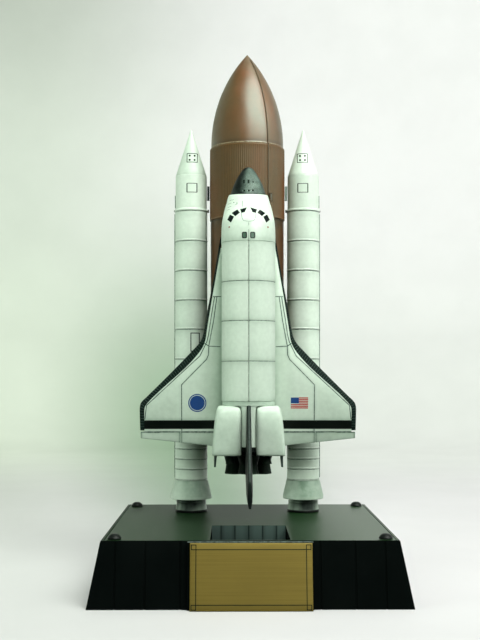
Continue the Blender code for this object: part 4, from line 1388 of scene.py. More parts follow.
@dataclass
class Tank:
    """External tank: pointed nose, ribbed middle, barrel with its dome, cable tray and feedline."""

    nose_r: float = 20.25
    middle_r: float = 21.0
    barrel_r: float = 20.55
    tip_z: float = 287.9
    ogive_low_z: float = 236.0               # the nose is straight below this
    ring_high_z: float = 234.2
    ring_low_z: float = 193.8
    barrel_low_z: float = 78.0
    low_z: float = 63.0
    rib_count: int = 126
    rib_deep: float = 0.16
    tray_turn: float = math.radians(32.6)
    tray_half: float = 0.25
    tray_high: float = 0.4
    feed_x: float = 12.5
    feed_r: float = 1.05
    feed_z: tuple[float, float] = (84.0, 207.0)
    feed_bend: float = 4.0                   # how much of its top leans in
    clamp_high: float = 0.22
    columns: int = 144

    def ogive(self, z: np.ndarray) -> np.ndarray:
        """Radius of the nose at a height: an arc that meets the straight foot below it smoothly."""
        length = self.tip_z - self.ogive_low_z
        sweep = (self.nose_r ** 2 + length ** 2) / (2 * self.nose_r)
        return np.sqrt(sweep ** 2 - np.maximum(0.0, z - self.ogive_low_z) ** 2) + self.nose_r - sweep

    def nose(self) -> list[Patch]:
        """The nose: a straight foot with a rubbed ridge at its low end, then the ogive to a blunt tip."""
        z = self.ring_high_z + (self.tip_z - 0.5 - self.ring_high_z) * np.sin(np.linspace(0, np.pi / 2, 70))
        z = np.unique(np.concatenate([z, self.ring_high_z + np.linspace(0.0, 4.0, 33)]))
        line = self.ring_high_z + 0.55
        wall = np.stack([self.ogive(z) + 0.15 * bump(z, [line], 0.30), z], -1)
        patch = turned(np.concatenate([[(0.0, self.ring_high_z)], wall, [(0.0, self.tip_z)]]), self.columns)
        height = patch.points[:, :1, 2]
        ahead = 0.3 + 0.5 * ease(np.cos(full_turn(self.columns) + math.radians(100.0)), 0.2, 0.95)
        patch.marks = {Mark.WORN: 0.85 * bump(height, [line], 0.2) * ahead,
                       Mark.WASH: 0.35 * bump(height, [line + 1.2], 0.9)}
        return [patch]

    def middle(self) -> list[Patch]:
        """The ribbed middle: a cylinder whose radius rises and falls as a flattened wave round it."""
        low, high = self.ring_low_z + SEAM, self.ring_high_z - 0.04
        steps = np.array([0.3, 0.6, 1.2])
        z = rows_between(low, high, 4.0, low + steps, high - steps)[:, None]
        turn = full_turn(self.rib_count * 6)
        valley = 0.5 - 0.5 * np.clip(1.4 * np.cos(self.rib_count * turn), -1.0, 1.0)
        ends = np.minimum(ease(z, low + 0.5, low + 1.2), ease(z, high - 0.5, high - 1.2))
        edge = 0.25 * (1 - np.minimum(ease(z, low, low + 0.3), ease(z, high, high - 0.3)))
        radius = self.middle_r - edge - self.rib_deep * valley * ends
        marks = {Mark.INK: 0.35 * valley * ends, Mark.WORN: 0.12 * bump(z, [low + 0.3], 0.25), Mark.WASH: 0.1}
        return capped(gather(radius * np.cos(turn), radius * np.sin(turn), z), marks)

    def barrel(self) -> list[Patch]:
        """The barrel and its dome: a quarter ellipse up from the pole, then the straight wall, with painted
        shade over it, heavier beside its rings.
        """
        turn = np.linspace(0.0, np.pi / 2, 28)
        deep = self.barrel_low_z - self.low_z
        dome = np.stack([self.barrel_r * np.sin(turn), self.barrel_low_z - deep * np.cos(turn)], -1)
        rings = np.array([self.barrel_low_z + 0.6, self.barrel_low_z + 5.0, self.ring_low_z - 0.8])
        offsets = np.array([-0.3, -0.15, 0.0, 0.15, 0.3])
        z = rows_between(self.barrel_low_z + 0.2, self.ring_low_z, 6.0, rings[:, None] + offsets)
        wall = np.stack([self.barrel_r - 0.08 * bump(z, rings, 0.16), z], -1)
        patch = turned(np.concatenate([dome, wall, [(0.0, self.ring_low_z)]]), self.columns)
        height = patch.points[:, :1, 2]
        # painted shade all over, heavier beside the rings; inked lines at the rings
        patch.marks = {Mark.INK: 0.6 * bump(height, rings, 0.16),
                       Mark.WASH: 0.57 + 0.3 * bump(height, rings, 1.8)}
        return [patch]

    def tray(self) -> list[Patch]:
        """The cable tray: a square bar that follows the nose's arc and the middle's wall, with a painted
        shadow on one face.
        """
        z = rows_between(204.0, 284.5, 1.2, self.ring_high_z + np.array([-1.0, 0.0, 1.0]))
        base = np.where(z > self.ring_high_z, self.ogive(z) + 0.15, self.middle_r)
        out = np.array([math.sin(self.tray_turn), -math.cos(self.tray_turn), 0.0])
        across = np.array([math.cos(self.tray_turn), math.sin(self.tray_turn), 0.0])
        section = rounded([(-0.1, -1.0), (1.0, -1.0), (1.0, 1.0), (-0.1, 1.0)], 0.4, 3)
        radius = base[:, None] + self.tray_high * section[:, 0]
        points = radius[..., None] * out + self.tray_half * section[:, 1][None, :, None] * across
        points += gather(0.0, 0.0, z)[:, None]
        # painted shadow on the bar's right face
        return capped(points, {Mark.DARK: 0.8 * ease(section[:, 1], 0.6, 1.0)})

    def feedline(self) -> list[Patch]:
        """The feedline: a pipe with clamp rings, whose top bends in towards the tank.

        Circles of the pipe's radius are set along a path that goes straight up and leans back at its top.

        Returns:
            The patches of the closed pipe.
        """
        low, high = self.feed_z
        depth = -math.sqrt((self.middle_r + 1.35) ** 2 - self.feed_x ** 2)
        clamps = np.arange(90.0, 204.0, 9.4)
        z = rows_between(low, high, 3.0, np.linspace(high - self.feed_bend, high, 9),
                         clamps[:, None] + np.array([-0.6, -0.45, 0.45, 0.6]))[:, None]
        near = np.abs(z - clamps).min(1, keepdims=True)
        radius = self.feed_r + self.clamp_high * np.clip((0.6 - near) / 0.15, 0.0, 1.0)
        bend = 0.5 * ease(z, high - self.feed_bend, high)
        turn = full_turn(24)
        points = gather(self.feed_x + radius * np.cos(turn), depth + bend + radius * np.sin(turn), z)
        return capped(points, {Mark.WASH: 0.9 * ease(z, 200.0, 204.0)})

    def build(self) -> None:
        """Make the tank's pieces."""
        make_piece("tank_nose_skin", self.nose(), BROWN, replaces=["tank_nose"])
        make_piece("tank_ribbed_skin", self.middle(), BARREL_BROWN, replaces=["tank_intertank"], sharp=60.0)
        make_piece("tank_barrel_skin", self.barrel(), BARREL_BROWN, replaces=["tank_barrel"])
        make_piece("cable_tray_bar", self.tray(), TRAY, replaces=["cable_tray"])
        make_piece("feedline_pipe", self.feedline(), BARREL_BROWN, replaces=["feedline"])


# Boosters


@dataclass
class Booster:
    """One solid booster with its markings and mounts."""

    side: Side
    axis_x: float = 31.5
    case_r: float = 9.05
    skirt_r: float = 8.75
    tip_z: float = 245.3
    tip_r: float = 0.55
    cone_low_z: float = 219.4
    case_high_z: float = 201.0
    case_low_z: float = 49.0
    skirt_low_z: float = 38.3
    floor_z: float = 31.15
    collar_z: tuple[float, float] = (199.15, 200.35)
    ring_z: tuple[float, ...] = (182.9, 166.4, 149.9, 133.7, 117.2, 100.9, 84.2, 67.1, 61.4, 55.8)
    columns: int = 112
    ink_z: float = 0.8                       # how far below each joint its line is engraved
    cone_hatch: tuple[float, float, float] = (228.8, 2.85, 2.55)    # height, half width, half height
    skirt_hatch: tuple[float, float, float] = (211.6, 2.8, 2.45)
    case_door: tuple[float, float, float] = (125.9, 2.3, 5.0)       # on the left booster alone
    case_door_x: float = -29.05
    hatch_in: float = 0.7                    # how far the hatches lie towards the tank

    @property
    def aft_shade(self) -> float:
        """How much painted shade the aft skirt gets, more on the right."""
        return 0.56 + 0.08 * self.side.value

    @property
    def x(self) -> float:
        """Where the booster's axis stands."""
        return self.side.value * self.axis_x

    def outer_side(self) -> np.ndarray:
        """How squarely each column faces away from the tank, from -1 to 1."""
        return self.side.value * np.cos(full_turn(self.columns))

    def inner_side(self) -> np.ndarray:
        """How squarely each column faces the tank, from 0 to 1."""
        return np.maximum(0.0, -self.outer_side())

    def case(self) -> list[Patch]:
        """The case: a cylinder with a low ridge and an engraved line at each joint, and the front collar,
        with a painted highlight on each ridge and painted shade beside the joints, under the collar and
        towards the tank.
        """
        rings = np.array(self.ring_z)
        offsets = np.array([-1.2, -0.95, -0.8, -0.65, -0.5, -0.35, -0.2, 0.0, 0.2, 0.35, 0.5, 0.8])
        low, high = self.collar_z
        collar = np.array([low - 0.9, low - 0.7, low - 0.5, low - 0.15, low, low + 0.25, high - 0.25, high,
                           high + 0.2])
        z = rows_between(self.case_low_z, self.case_high_z, 2.2, rings[:, None] + offsets, collar,
                         self.case_low_z + np.array([0.1, 0.3, 0.5, 0.8]))
        ridge = np.clip((0.5 - np.abs(z[:, None] - rings).min(1)) / 0.2, 0.0, 1.0)
        band = np.minimum(ease(z, low - 0.15, low + 0.25), ease(z, high, high - 0.35))
        engraved = bump(z, rings - self.ink_z, 0.16)
        radius = self.case_r + 0.16 * ridge + 0.40 * band - 0.10 * engraved - 0.3 * ease(z, high, high + 0.2)
        patch = lathe(radius, z, self.columns, self.x)
        height = patch.points[:, :1, 2]
        near = np.exp(-np.abs(height - rings + self.ink_z).min(1, keepdims=True) / 2.4)
        aft = ease(height, 72.0, 50.0)
        # painted shade beside each joint and under the collar, and on the side towards the tank, less towards
        # the aft end
        shade = (0.34 - 0.2 * aft) * near + 0.16 * bump(height, [low - 1.5], 2.2)
        inner = (0.45 + 0.65 * ease(height, 198.0, 160.0)) * (1 - aft)
        shade = shade + inner * self.inner_side() ** 3.2 * (0.75 + 0.25 * near)
        ink = np.maximum(bump(height, rings - self.ink_z, 0.17),
                         0.9 * bump(height, [low - 0.3, self.case_low_z + 0.3], 0.2))
        # the ridges get a painted highlight
        patch.marks = {Mark.WASH: np.clip(shade, 0.0, 0.95), Mark.INK: 0.85 * ink,
                       Mark.WORN: 0.35 * np.interp(height, z, ridge)}
        return [patch]

    def cone_r(self, z: np.ndarray) -> np.ndarray:
        """Radius of the cone: a straight side that touches a ball at its tip.

        Args:
            z: heights.

        Returns:
            The radii.
        """
        centre = self.tip_z - self.tip_r
        lean = math.atan((self.skirt_r - 0.15 - self.tip_r) / (centre - self.cone_low_z))
        ball = np.sqrt(np.maximum(0.0, self.tip_r ** 2 - (z - centre) ** 2))
        side = self.tip_r / math.cos(lean) + (centre - z) * math.tan(lean)
        return np.where(z > centre + self.tip_r * math.sin(lean), ball, side)

    def front(self, radius: Callable[[np.ndarray], np.ndarray]) -> Surface:
        """The booster's near surface.

        Args:
            radius: gives its radius at each height.

        Returns:
            The depth for each x and z.
        """

        def depth(x: np.ndarray, z: np.ndarray) -> np.ndarray:
            """Minus the height of the circle's arc at that x."""
            return -np.sqrt(np.maximum(0.05, radius(z) ** 2 - (x - self.x) ** 2))

        return depth

    def head(self) -> list[Patch]:
        """The cone, from its foot up to its tip, with painted shade towards the tank, low on the left
        booster's cone and at its foot.
        """
        low = self.cone_low_z + 0.1
        z = self.tip_z - (self.tip_z - low) * np.append(np.linspace(1.0, 0.0, 40)[:-1] ** 2, 0.0)
        profile = np.concatenate([[(0.0, z[0])], np.stack([self.cone_r(z), z], -1)])
        patch = turned(profile, self.columns, self.x)
        height = patch.points[:, :1, 2]
        # painted shade on the side towards the tank, and low on the left booster's cone
        shade = 0.30 * ease(height, 232.0, 219.0) * self.inner_side() ** 2
        if self.side is Side.LEFT:
            shade = shade + 0.26 * ease(height, 244.0, 226.0)
        patch.marks = {Mark.WASH: shade + 0.14 * bump(height, [self.cone_low_z], 1.2)}
        return [patch]

    def forward_skirt(self) -> list[Patch]:
        """The forward skirt: a short cylinder whose upper edge is a little rounded, with painted shade on its
        side towards the tank.
        """
        high = self.cone_low_z
        z = rows_between(self.case_high_z - 0.1, high, 1.5, high - np.array([0.05, 0.15, 0.3, 0.5]))
        patch = lathe(self.skirt_r - 0.12 * ease(z, high - 0.5, high), z, self.columns, self.x)
        lined = 0.10 * bump(patch.points[:, :1, 2], [high], 1.2)
        # painted shade on the side towards the tank
        patch.marks = {Mark.WASH: lined + 0.42 * self.inner_side() ** 2}
        return [patch]

    def aft_skirt(self) -> list[Patch]:
        """The flared aft skirt: a cone with a rolled lip and a closed, sunken underside, in painted shade
        that is lighter on its flanks.
        """
        top, low = self.case_low_z - SEAM, self.skirt_low_z
        outline = rounded([(10.3, low + 1.0), (10.75, low + 0.05), (11.4, low + 0.1), (11.38, low + 1.7),
                           (self.case_r + 0.35, top - 0.3), (self.case_r + 0.2, top)], 0.3)
        patch = lathe(*outline.T, self.columns, self.x)
        height, outer = patch.points[:, :1, 2], self.outer_side()
        # painted shade, lifted on the flanks
        lit_flanks = 0.65 * ease(outer, 0.1, 0.7)
        if self.side is Side.RIGHT:
            lit_flanks = 0.3 * ease(outer, 0.1, 0.7) + 0.4 * ease(outer, -0.1, -0.7)
        lined = 0.30 * bump(height, [top], 2.2) + 0.20 * bump(height, [low + 1.9], 0.5)
        patch.marks = {Mark.WASH: lined + self.aft_shade * (1 - lit_flanks) + 0.08 * self.inner_side() ** 2}
        return [patch]

    def nozzle(self) -> list[Patch]:
        """The nozzle: a short flare that stands on the plinth, with a ring, a black foot and a hollow, and
        painted shade down the middle that faces the viewer and beside its rings.
        """
        top, low = self.skirt_low_z + 1.0 - SEAM, self.floor_z
        outline = rounded([(8.1, top), (8.15, 37.1), (8.4, 36.9), (8.4, 36.4), (8.2, 36.2), (8.75, 32.3),
                           (8.95, 32.2), (8.95, low), (8.25, low), (8.05, 32.0), (7.0, 36.5)], 0.25)
        patch = turned(np.concatenate([[(0.0, top)], outline, [(0.0, 36.9)]]), self.columns, self.x)
        height = patch.points[:, :1, 2]
        aside = math.radians(14.0) if self.side is Side.RIGHT else 0.0
        # painted shade down the middle that faces the viewer
        middle = np.maximum(0.0, -np.sin(full_turn(self.columns) - aside)) ** 7
        rows = 0.6 * bump(height, [38.3], 1.0) + 0.4 * bump(height, [36.1], 0.4)
        patch.marks = {Mark.DARK: ease(height, 32.5, 32.2),
                       Mark.WASH: np.clip(rows + 0.85 * middle, 0.0, 0.95)}
        return [patch]

    def tunnel(self) -> list[Patch]:
        """The cable tunnel, a rounded bar down the outboard side, and the fairing above it on the skirt."""
        patches = []
        for reach, low, high in ((self.case_r, self.case_low_z + 1.0, 198.0), (self.skirt_r, 201.6, 208.4)):
            section = rounded([(reach - 0.2, -0.85), (reach + 0.45, -0.7), (reach + 0.45, 0.7),
                               (reach - 0.2, 0.85)], 0.25, 3)
            rings = np.array(self.ring_z)[:, None] + np.array([-0.5, -0.2, 0.2, 0.5])
            z = rows_between(low, high, 5.0, rings)
            points = drawn(section * (self.side.value, 1.0) + (self.x, 0.0), z)
            ink = 0.8 * bump(z, self.ring_z, 0.3)[:, None] + 0.6 * (np.abs(points[..., 1]) > 0.66)
            patches += capped(points, {Mark.INK: ink, Mark.WASH: 0.45})
        return patches

    def markings(self) -> list[Patch]:
        """Hatch outlines on the near side: a dotted square, a plain square and, on one side, a door."""
        cone, skirt = self.front(self.cone_r), self.front(lambda z: self.skirt_r + 0.0 * z)
        x = self.x - self.side.value * self.hatch_in

        def hatch(centre: float, sizes: tuple[float, float, float]) -> list[tuple[float, float]]:
            """Corners of a hatch with this height, half width and half height."""
            z, half_x, half_z = sizes
            return rectangle(centre - half_x, centre + half_x, z - half_z, z + half_z)

        patches = inlay(hatch(x, self.cone_hatch), cone, 0.36, closed=True)
        patches += dots([(x + across, self.cone_hatch[0] + up) for across in (-1.35, 1.35)
                         for up in (-1.25, 1.25)], 0.56, cone, 14)
        patches += inlay(hatch(x, self.skirt_hatch), skirt, 0.3, closed=True)
        for edge in (-2.75, 2.75):
            patches += inlay([(x + edge, 209.3), (x + edge, 213.9)], skirt, 0.5, lift=0.06)
        if self.side is Side.LEFT:
            case = self.front(lambda z: self.case_r + 0.0 * z)
            patches += inlay(hatch(self.case_door_x, self.case_door), case, 0.5, closed=True)
        return patches

    def knobs(self) -> list[Patch]:
        """Small fittings on the front collar, where the separation gear sits."""
        patches = []
        middle, reach = sum(self.collar_z) / 2, self.case_r + 0.5
        section = rounded([(0.0, -1.0), (0.8, -1.0), (1.0, -0.6), (1.0, 0.6), (0.8, 1.0), (0.0, 1.0)], 0.3, 2)
        for toward, size in ((-self.side.value, 0.7), (self.side.value, 0.4)):
            outline = section * (toward * size, size) + (self.x + toward * (reach - 0.25), 0.0)
            points = drawn(outline, middle + size * np.array([-1.2, -1.0, 1.0, 1.2]))
            points[[0, -1]] = points[[0, -1]].mean(1, keepdims=True) * 0.25 + points[[0, -1]] * 0.75
            patches += capped(points)
        return patches

    def build(self) -> None:
        """Make the booster's pieces."""
        label = self.side.label
        parts = (("cone", self.head, WHITE), ("skirt_forward", self.forward_skirt, WHITE),
                 ("case", self.case, WHITE), ("skirt_aft", self.aft_skirt, WHITE),
                 ("tunnel", self.tunnel, WHITE), ("nozzle", self.nozzle, NOZZLE))
        for part, shape, finish in parts:
            make_piece(f"booster_{part}_skin_{label}", shape(), finish, replaces=[f"booster_{part}_{label}"])
        make_piece(f"booster_markings_{label}", self.markings(), EDGE_BLACK)
        make_piece(f"booster_knobs_{label}", self.knobs(), BLACK)


# Orbiter


@dataclass
class Body:
    """The orbiter's fuselage: nose cap, forward part with windows, hollow bay and aft part."""

    middle_y: float = -41.4
    belly_y: float = -25.8
    roof_r: float = 14.2
    half_x: float = 13.6
    bay_r: float = 11.7
    bay_low_z: float = 94.2
    bay_high_z: float = 176.7
    cap_low_z: float = 202.8
    aft_low_z: float = 68.5
    sill_y: float = -44.137
    shoulder_y: float = -44.5
    ridge_y: float = -55.4
    tip_z: float = 217.9
    joint_lean: float = 0.8                  # how much lower the cap's joint lies in front
    base_z: float = 70.9                     # black below this
    collar_z: float = 91.95
    columns: int = 128
    # Height, and half the ridge's width there
    ridge_halves: tuple = ((85.0, 3.6), (88.5, 3.65), (90.2, 3.8), (91.0, 4.1), (91.6, 4.5), (91.9, 4.9))
    # Height, half width, depth of the widest point, rise above it, drop below it, squareness of the drop
    cap_sections: tuple = (
        (217.2, 2.1, -34.8, 1.9, 1.8, 1.0),
        (215.4, 3.7, -34.8, 3.4, 3.1, 1.0),
        (212.6, 5.45, -34.9, 5.1, 4.7, 0.95),
        (208.6, 7.5, -35.2, 7.0, 6.5, 0.85),
        (203.05, 9.4, -35.8, 8.9, 8.3, 0.8),
    )
    forward_sections: tuple = (
        (202.8, 10.1, -35.8, 9.3, 8.3, 0.8),
        (202.2, 10.45, -36.0, 9.5, 8.7, 0.75),
        (198.3, 11.5, -36.8, 10.2, 10.0, 0.7),
        (195.6, 12.3, -37.4, 11.0, 10.9, 0.65),
        (192.0, 13.1, -38.4, 12.6, 12.3, 0.6),
        (188.0, 13.8, -39.8, 13.6, 13.9, 0.5),
        (183.0, 14.1, -41.0, 14.0, 15.2, 0.45),
        (176.95, 14.2, -41.4, 14.2, 15.6, 0.4),
    )
    # Corners of the nose's panes on its left side, as (x, z)
    panes: tuple = (
        ((-11.0, 188.1), (-9.6, 190.9), (-7.5, 189.4), (-9.1, 186.3)),
        ((-8.7, 191.6), (-5.8, 193.4), (-4.5, 191.5), (-6.9, 189.6)),
        ((-4.3, 193.3), (-0.9, 194.4), (-2.0, 191.7), (-3.7, 191.3)),
    )
    roof_pane_x: tuple[float, ...] = (-2.2, 2.0)
    hatch: tuple = ((-3.9, 194.0), (-3.55, 189.0), (-2.9, 187.0), (0.0, 186.5), (2.9, 187.0), (3.55, 189.0),
                    (3.9, 194.0))
    # Thruster slots on the nose's left side: x, z and length
    slots: tuple = ((-8.1, 199.2, 3.6), (-9.9, 197.3, 1.6), (-9.8, 195.4, 1.8), (-10.4, 193.9, 1.6),
                    (-6.4, 196.4, 1.2))
    # Ports in the cap: x, z, width and height
    ports: tuple = ((-2.3, 209.1, 0.9, 2.0), (0.1, 209.1, 0.95, 2.0), (2.45, 208.9, 0.6, 1.0),
                    (-2.2, 204.0, 1.0, 1.05), (0.2, 204.0, 1.0, 1.05), (2.3, 204.1, 1.0, 1.05))

    def section_grid(self, rows: np.ndarray, z: np.ndarray) -> np.ndarray:
        """Grid of the body's sections.

        A section is half an ellipse on top, and below its widest point a box whose corners are as full as
        its squareness says: cosine and sine raised to that power.

        Args:
            rows: half width, depth, rise, drop and squareness for each height.
            z: the heights.

        Returns:
            Points by height and by angle.
        """
        half, middle, up, down, square = (column[:, None] for column in rows.T)
        turn = full_turn(self.columns)
        cosine, sine = np.cos(turn), np.sin(turn)
        top = sine >= -1e-9
        x = half * np.where(top, cosine, np.sign(cosine) * np.abs(cosine) ** square)
        y = middle + np.where(top, -up * sine, down * np.abs(np.minimum(sine, 0.0)) ** square)
        return gather(x, y, z[:, None])

    def forward_rows(self, z: np.ndarray) -> np.ndarray:
        """Section values of the forward part at each height."""
        return hermite(np.array(self.forward_sections)[::-1], z)

    @staticmethod
    def top_of(rows: np.ndarray, x: np.ndarray) -> np.ndarray:
        """Depth of the top of sections with these values, at each x: half an ellipse."""
        share = np.clip(np.abs(x) / rows[..., 0], 0.0, 0.985)
        return rows[..., 1] - rows[..., 2] * np.sqrt(1 - share ** 2)

    def forward_surface(self, x: np.ndarray, z: np.ndarray) -> np.ndarray:
        """Depth of the forward part's top at each x and z."""
        level = z + self.lean_at(x, ease(z, 197.2, 201.4))
        return self.top_of(self.forward_rows(np.ravel(level)).reshape(*np.shape(level), 5), x)

    def cap_rows(self, z: np.ndarray) -> np.ndarray:
        """Section values of the cap, smooth in the root of the distance from its tip so that it is round."""
        table = np.array([(self.tip_z, 0.0, -34.8, 0.0, 0.0, 1.0), *self.cap_sections])
        table[:, 0] = np.sqrt(self.tip_z - table[:, 0])
        return hermite(table, np.sqrt(np.maximum(0.0, self.tip_z - z)))

    def cap_surface(self, x: np.ndarray, z: np.ndarray) -> np.ndarray:
        """Depth of the cap's top at each x and z."""
        level = z + self.lean_at(x, ease(z, 208.0, 202.6))
        return self.top_of(self.cap_rows(np.ravel(level)).reshape(*np.shape(level), 5), x)

    def lean_at(self, x: np.ndarray, weight: np.ndarray) -> np.ndarray:
        """How much lower the leaning sections lie at each x, where their weight is 1."""
        return self.joint_lean * weight * np.sqrt(1 - np.clip(np.abs(x) / 9.5, 0.0, 0.98) ** 2)

    def tilt(self, points: np.ndarray, weight: np.ndarray) -> None:
        """Lower the sections' front by up to the lean, where their weight is 1, so that the joint leans."""
        points[..., 2] -= self.joint_lean * weight[:, None] * np.maximum(0.0, np.sin(full_turn(self.columns)))

    def cap(self) -> list[Patch]:
        """The nose cap, closed at its foot, with painted shade low down, at its tip, along its right edge and
        on its left.
        """
        z = self.tip_z - (self.tip_z - self.cap_low_z - SEAM) * np.linspace(0.0, 1.0, 40) ** 2
        rows = self.cap_rows(z)
        points = self.section_grid(rows, z)
        self.tilt(points, ease(z, 208.0, 203.4))
        across = points[..., 0] / np.maximum(rows[:, :1], 0.1)
        # painted shade low down, at the tip, on the left and along the right edge
        ends = 0.6 * ease(z, 204.4, 202.9) + 0.8 * ease(z, 215.6, 217.6)
        shade = ends[:, None] + 0.97 * ease(across, 0.0, -0.6) + 0.8 * ease(across, 0.75, 1.0)
        return [Patch(points, True, {Mark.WASH: np.clip(shade, 0.0, 0.97)}), fan(points[-1])]

    def forward(self) -> list[Patch]:
        """The forward part, with its shoulder at the cap, shaded lines, painted shade low on it and on its
        right, and a black underside.
        """
        low = self.bay_high_z + 0.06
        z = rows_between(low, self.cap_low_z, 0.55, np.linspace(self.cap_low_z - 0.9, self.cap_low_z, 8),
                         low + np.array([0.1, 0.25, 0.4]))
        points = self.section_grid(self.forward_rows(z), z)
        self.tilt(points, ease(z, 198.0, 202.2))
        x, z = points[..., 0], z[:, None]
        # painted shade low on the nose and on its right; halos beside the bay joint and the hatch
        wash = 0.28 * bump(z, [low], 2.4) + 0.14 * ease(z, 189.5, 186.0)
        wash = wash + 0.14 * bump(x, [0.0], 1.3) * ease(z, 187.0, 184.0)
        wash = wash + 0.24 * bump(np.hypot(x, z - 186.6), [0.0], 2.4) + 0.12 * ease(x, 2.0, 9.0)
        return capped(points, {Mark.WASH: wash, Mark.DARK: self.under_black(points)})

    def under_black(self, points: np.ndarray) -> np.ndarray:
        """1 where a point is on the black underside, which reaches a little way up the sides."""
        return ease(points[..., 1], self.belly_y - 3.1, self.belly_y - 2.9)

    def windows(self) -> None:
        """Black panes round the nose and two framed panes in the roof."""
        for side in Side:
            corners = [[(-side.value * x, z) for x, z in pane] for pane in self.panes]
            make_piece(f"windows_{side.label}", tiles(corners, self.forward_surface), GLASS)
        corners = [rectangle(x - 0.95, x + 0.95, 178.1, 180.6) for x in self.roof_pane_x]
        make_piece("roof_windows", tiles(corners, self.forward_surface, 0.04), ROOF_PANE)
        patches = []
        for x in self.roof_pane_x:
            border = rounded([(x, 177.95), (x - 1.05, 177.95), (x - 1.05, 180.75), (x + 1.05, 180.75),
                              (x + 1.05, 177.95), (x, 177.95)], 0.5)[:-1]
            patches += inlay(border, self.forward_surface, 0.55, closed=True, lift=0.07)
        make_piece("roof_window_frames", patches, BLACK)

    def markings(self) -> None:
        """Inked outlines on the nose: canopy hatch, thruster slots, ports in the cap and centre lines."""
        surface = self.forward_surface
        patches = inlay(rounded(self.hatch, 0.8), surface, 0.26, lift=0.03)
        patches += inlay([(-3.1, 198.7), (-3.1, 194.9)], surface, 0.2, lift=0.03)
        for x, z, reach in self.slots:
            patches += inlay([(x - reach / 2, z - 0.15), (x + reach / 2, z + 0.15)], surface, 0.18, lift=0.03)
        make_piece("nose_fine_lines", patches, FAINT)
        patches = inlay([(0.0, 186.0), (0.0, 184.4)], surface, 0.2)
        patches += inlay([(0.0, 182.4), (0.0, self.bay_high_z + SEAM)], surface, 0.2)
        patches += dots(((-7.6, 197.6), (-6.0, 197.1)), 0.28, surface, 12)
        make_piece("nose_ink_marks", patches, INK)
        corners = [rectangle(x - width / 2, x + width / 2, z - height / 2, z + height / 2)
                   for x, z, width, height in self.ports]
        make_piece("cap_ports", tiles(corners, self.cap_surface, 0.04, 4), SOOT)
        corners = [rectangle(x - 0.12, x + 0.12, 203.75, 204.2) for x in (-2.9, -0.5, 1.6)]
        make_piece("cap_port_edges", tiles(corners, self.cap_surface, 0.04, 3), TAIL_GREY)
        centres = [(side.value * 9.95, 184.0) for side in Side]
        make_piece("nose_rust_dots", dots(centres, 0.45, surface, 16), RUST)

    def middle(self) -> list[Patch]:
        """The open trough under the doors: round belly corners, sills, and frames inside the bay, with
        painted shade inside the bay and beside the sills.

        Its section is a loop whose first half is the outer wall from sill to sill and whose second half
        is the bay's arc; the arc's radius shrinks at each frame.

        Returns:
            The patches of the closed trough.
        """
        z = rows_between(self.bay_low_z, self.bay_high_z, 5.0, self.frame_places()[:, None]
                         + np.array([-0.5, -0.4, 0.4, 0.5]))
        flank = np.linspace((self.half_x, self.belly_y - 3.1), (self.half_x, self.sill_y + 0.9), 8)
        right = np.concatenate([self.belly_corner(), flank, [(self.half_x - 0.7, self.sill_y)]])
        outer = np.concatenate([right[::-1], [(0.0, self.belly_y)], right * (-1, 1)])
        sill_x = math.sqrt(self.bay_r ** 2 - (self.middle_y - self.sill_y) ** 2)
        first = math.degrees(math.atan2(self.sill_y - self.middle_y, -sill_x)) % 360.0
        turn = np.radians(np.linspace(first, first - 360.0 + 2 * (270.0 - first), len(outer)))
        frames = np.clip((0.5 - np.abs(z[:, None] - self.frame_places()).min(1)) / 0.1, 0.0, 1.0)[:, None]
        radius = self.bay_r - 0.7 * frames + 0.0 * turn
        radius[:, [0, -1]] = self.bay_r
        trough = np.stack([radius * np.cos(turn), self.middle_y + radius * np.sin(turn)], -1)
        outline = np.broadcast_to(outer, trough.shape)
        points = drawn(np.concatenate([outline, trough], 1), z)
        inside = np.arange(points.shape[1]) >= len(outer)
        # painted shade inside the bay, lighter on the frames, and beside the sills
        wash = np.where(inside, 0.45 - 0.3 * frames, 0.3 * bump(points[..., 1], [self.sill_y], 1.5))
        dark = np.where(inside, 0.0, self.under_black(points))
        return capped(points, {Mark.WASH: wash, Mark.DARK: dark}, ladder)

    def belly_corner(self) -> np.ndarray:
        """The round corner between the belly and the right flank, as (x, y)."""
        return arc((self.half_x - 3.0, self.belly_y - 3.0), 3.0, 90.0, 0.0, 10)

    def frame_places(self) -> np.ndarray:
        """Heights of the frames inside the bay."""
        return np.linspace(self.bay_low_z + 1.0, self.bay_high_z - 1.0, 13)

    def collar(self) -> np.ndarray:
        """The full round collar under the doors: belly corner, flank and roof, mirrored."""
        flank = np.linspace((self.half_x, self.belly_y - 3.1), (self.half_x, self.sill_y + 0.5), 6)
        sweep = np.degrees(math.acos((self.half_x + 0.02) / self.roof_r))
        roof = arc((0.0, self.middle_y), self.roof_r, -sweep, -90.0, 24)[:-1]
        right = np.concatenate([self.belly_corner(), flank, roof])
        high = np.array([self.bay_low_z - 0.06, self.bay_low_z - 0.3, self.collar_z + 0.3, self.collar_z])
        points = drawn(mirrored(right, self.belly_y, self.middle_y - self.roof_r), high)
        points[[0, -1], :, 0] *= 0.985
        return points

    def shouldered(self) -> np.ndarray:
        """The body below the collar, with square shoulders and the fin's ridge, which widens upwards."""
        levels = np.array([self.aft_low_z, self.aft_low_z + 0.2, self.base_z - 0.02, self.base_z + 0.02, 76.0,
                           85.0, 88.5, 90.2, 91.0, 91.6, self.collar_z])
        loops = []
        for half in np.interp(levels, *np.transpose(self.ridge_halves)):
            shoulder = rounded([(self.half_x, self.belly_y - 3.1), (self.half_x, self.shoulder_y),
                                (half, self.shoulder_y), (half, -54.2), (half - 0.9, -55.1),
                                (0.0, self.ridge_y)], 0.5, 3)
            right = np.concatenate([self.belly_corner(), shoulder[:-1]])
            loops.append(mirrored(right, self.belly_y, self.ridge_y))
        points = drawn(np.stack(loops), levels)
        points[0, :, 0] *= 0.985
        return points

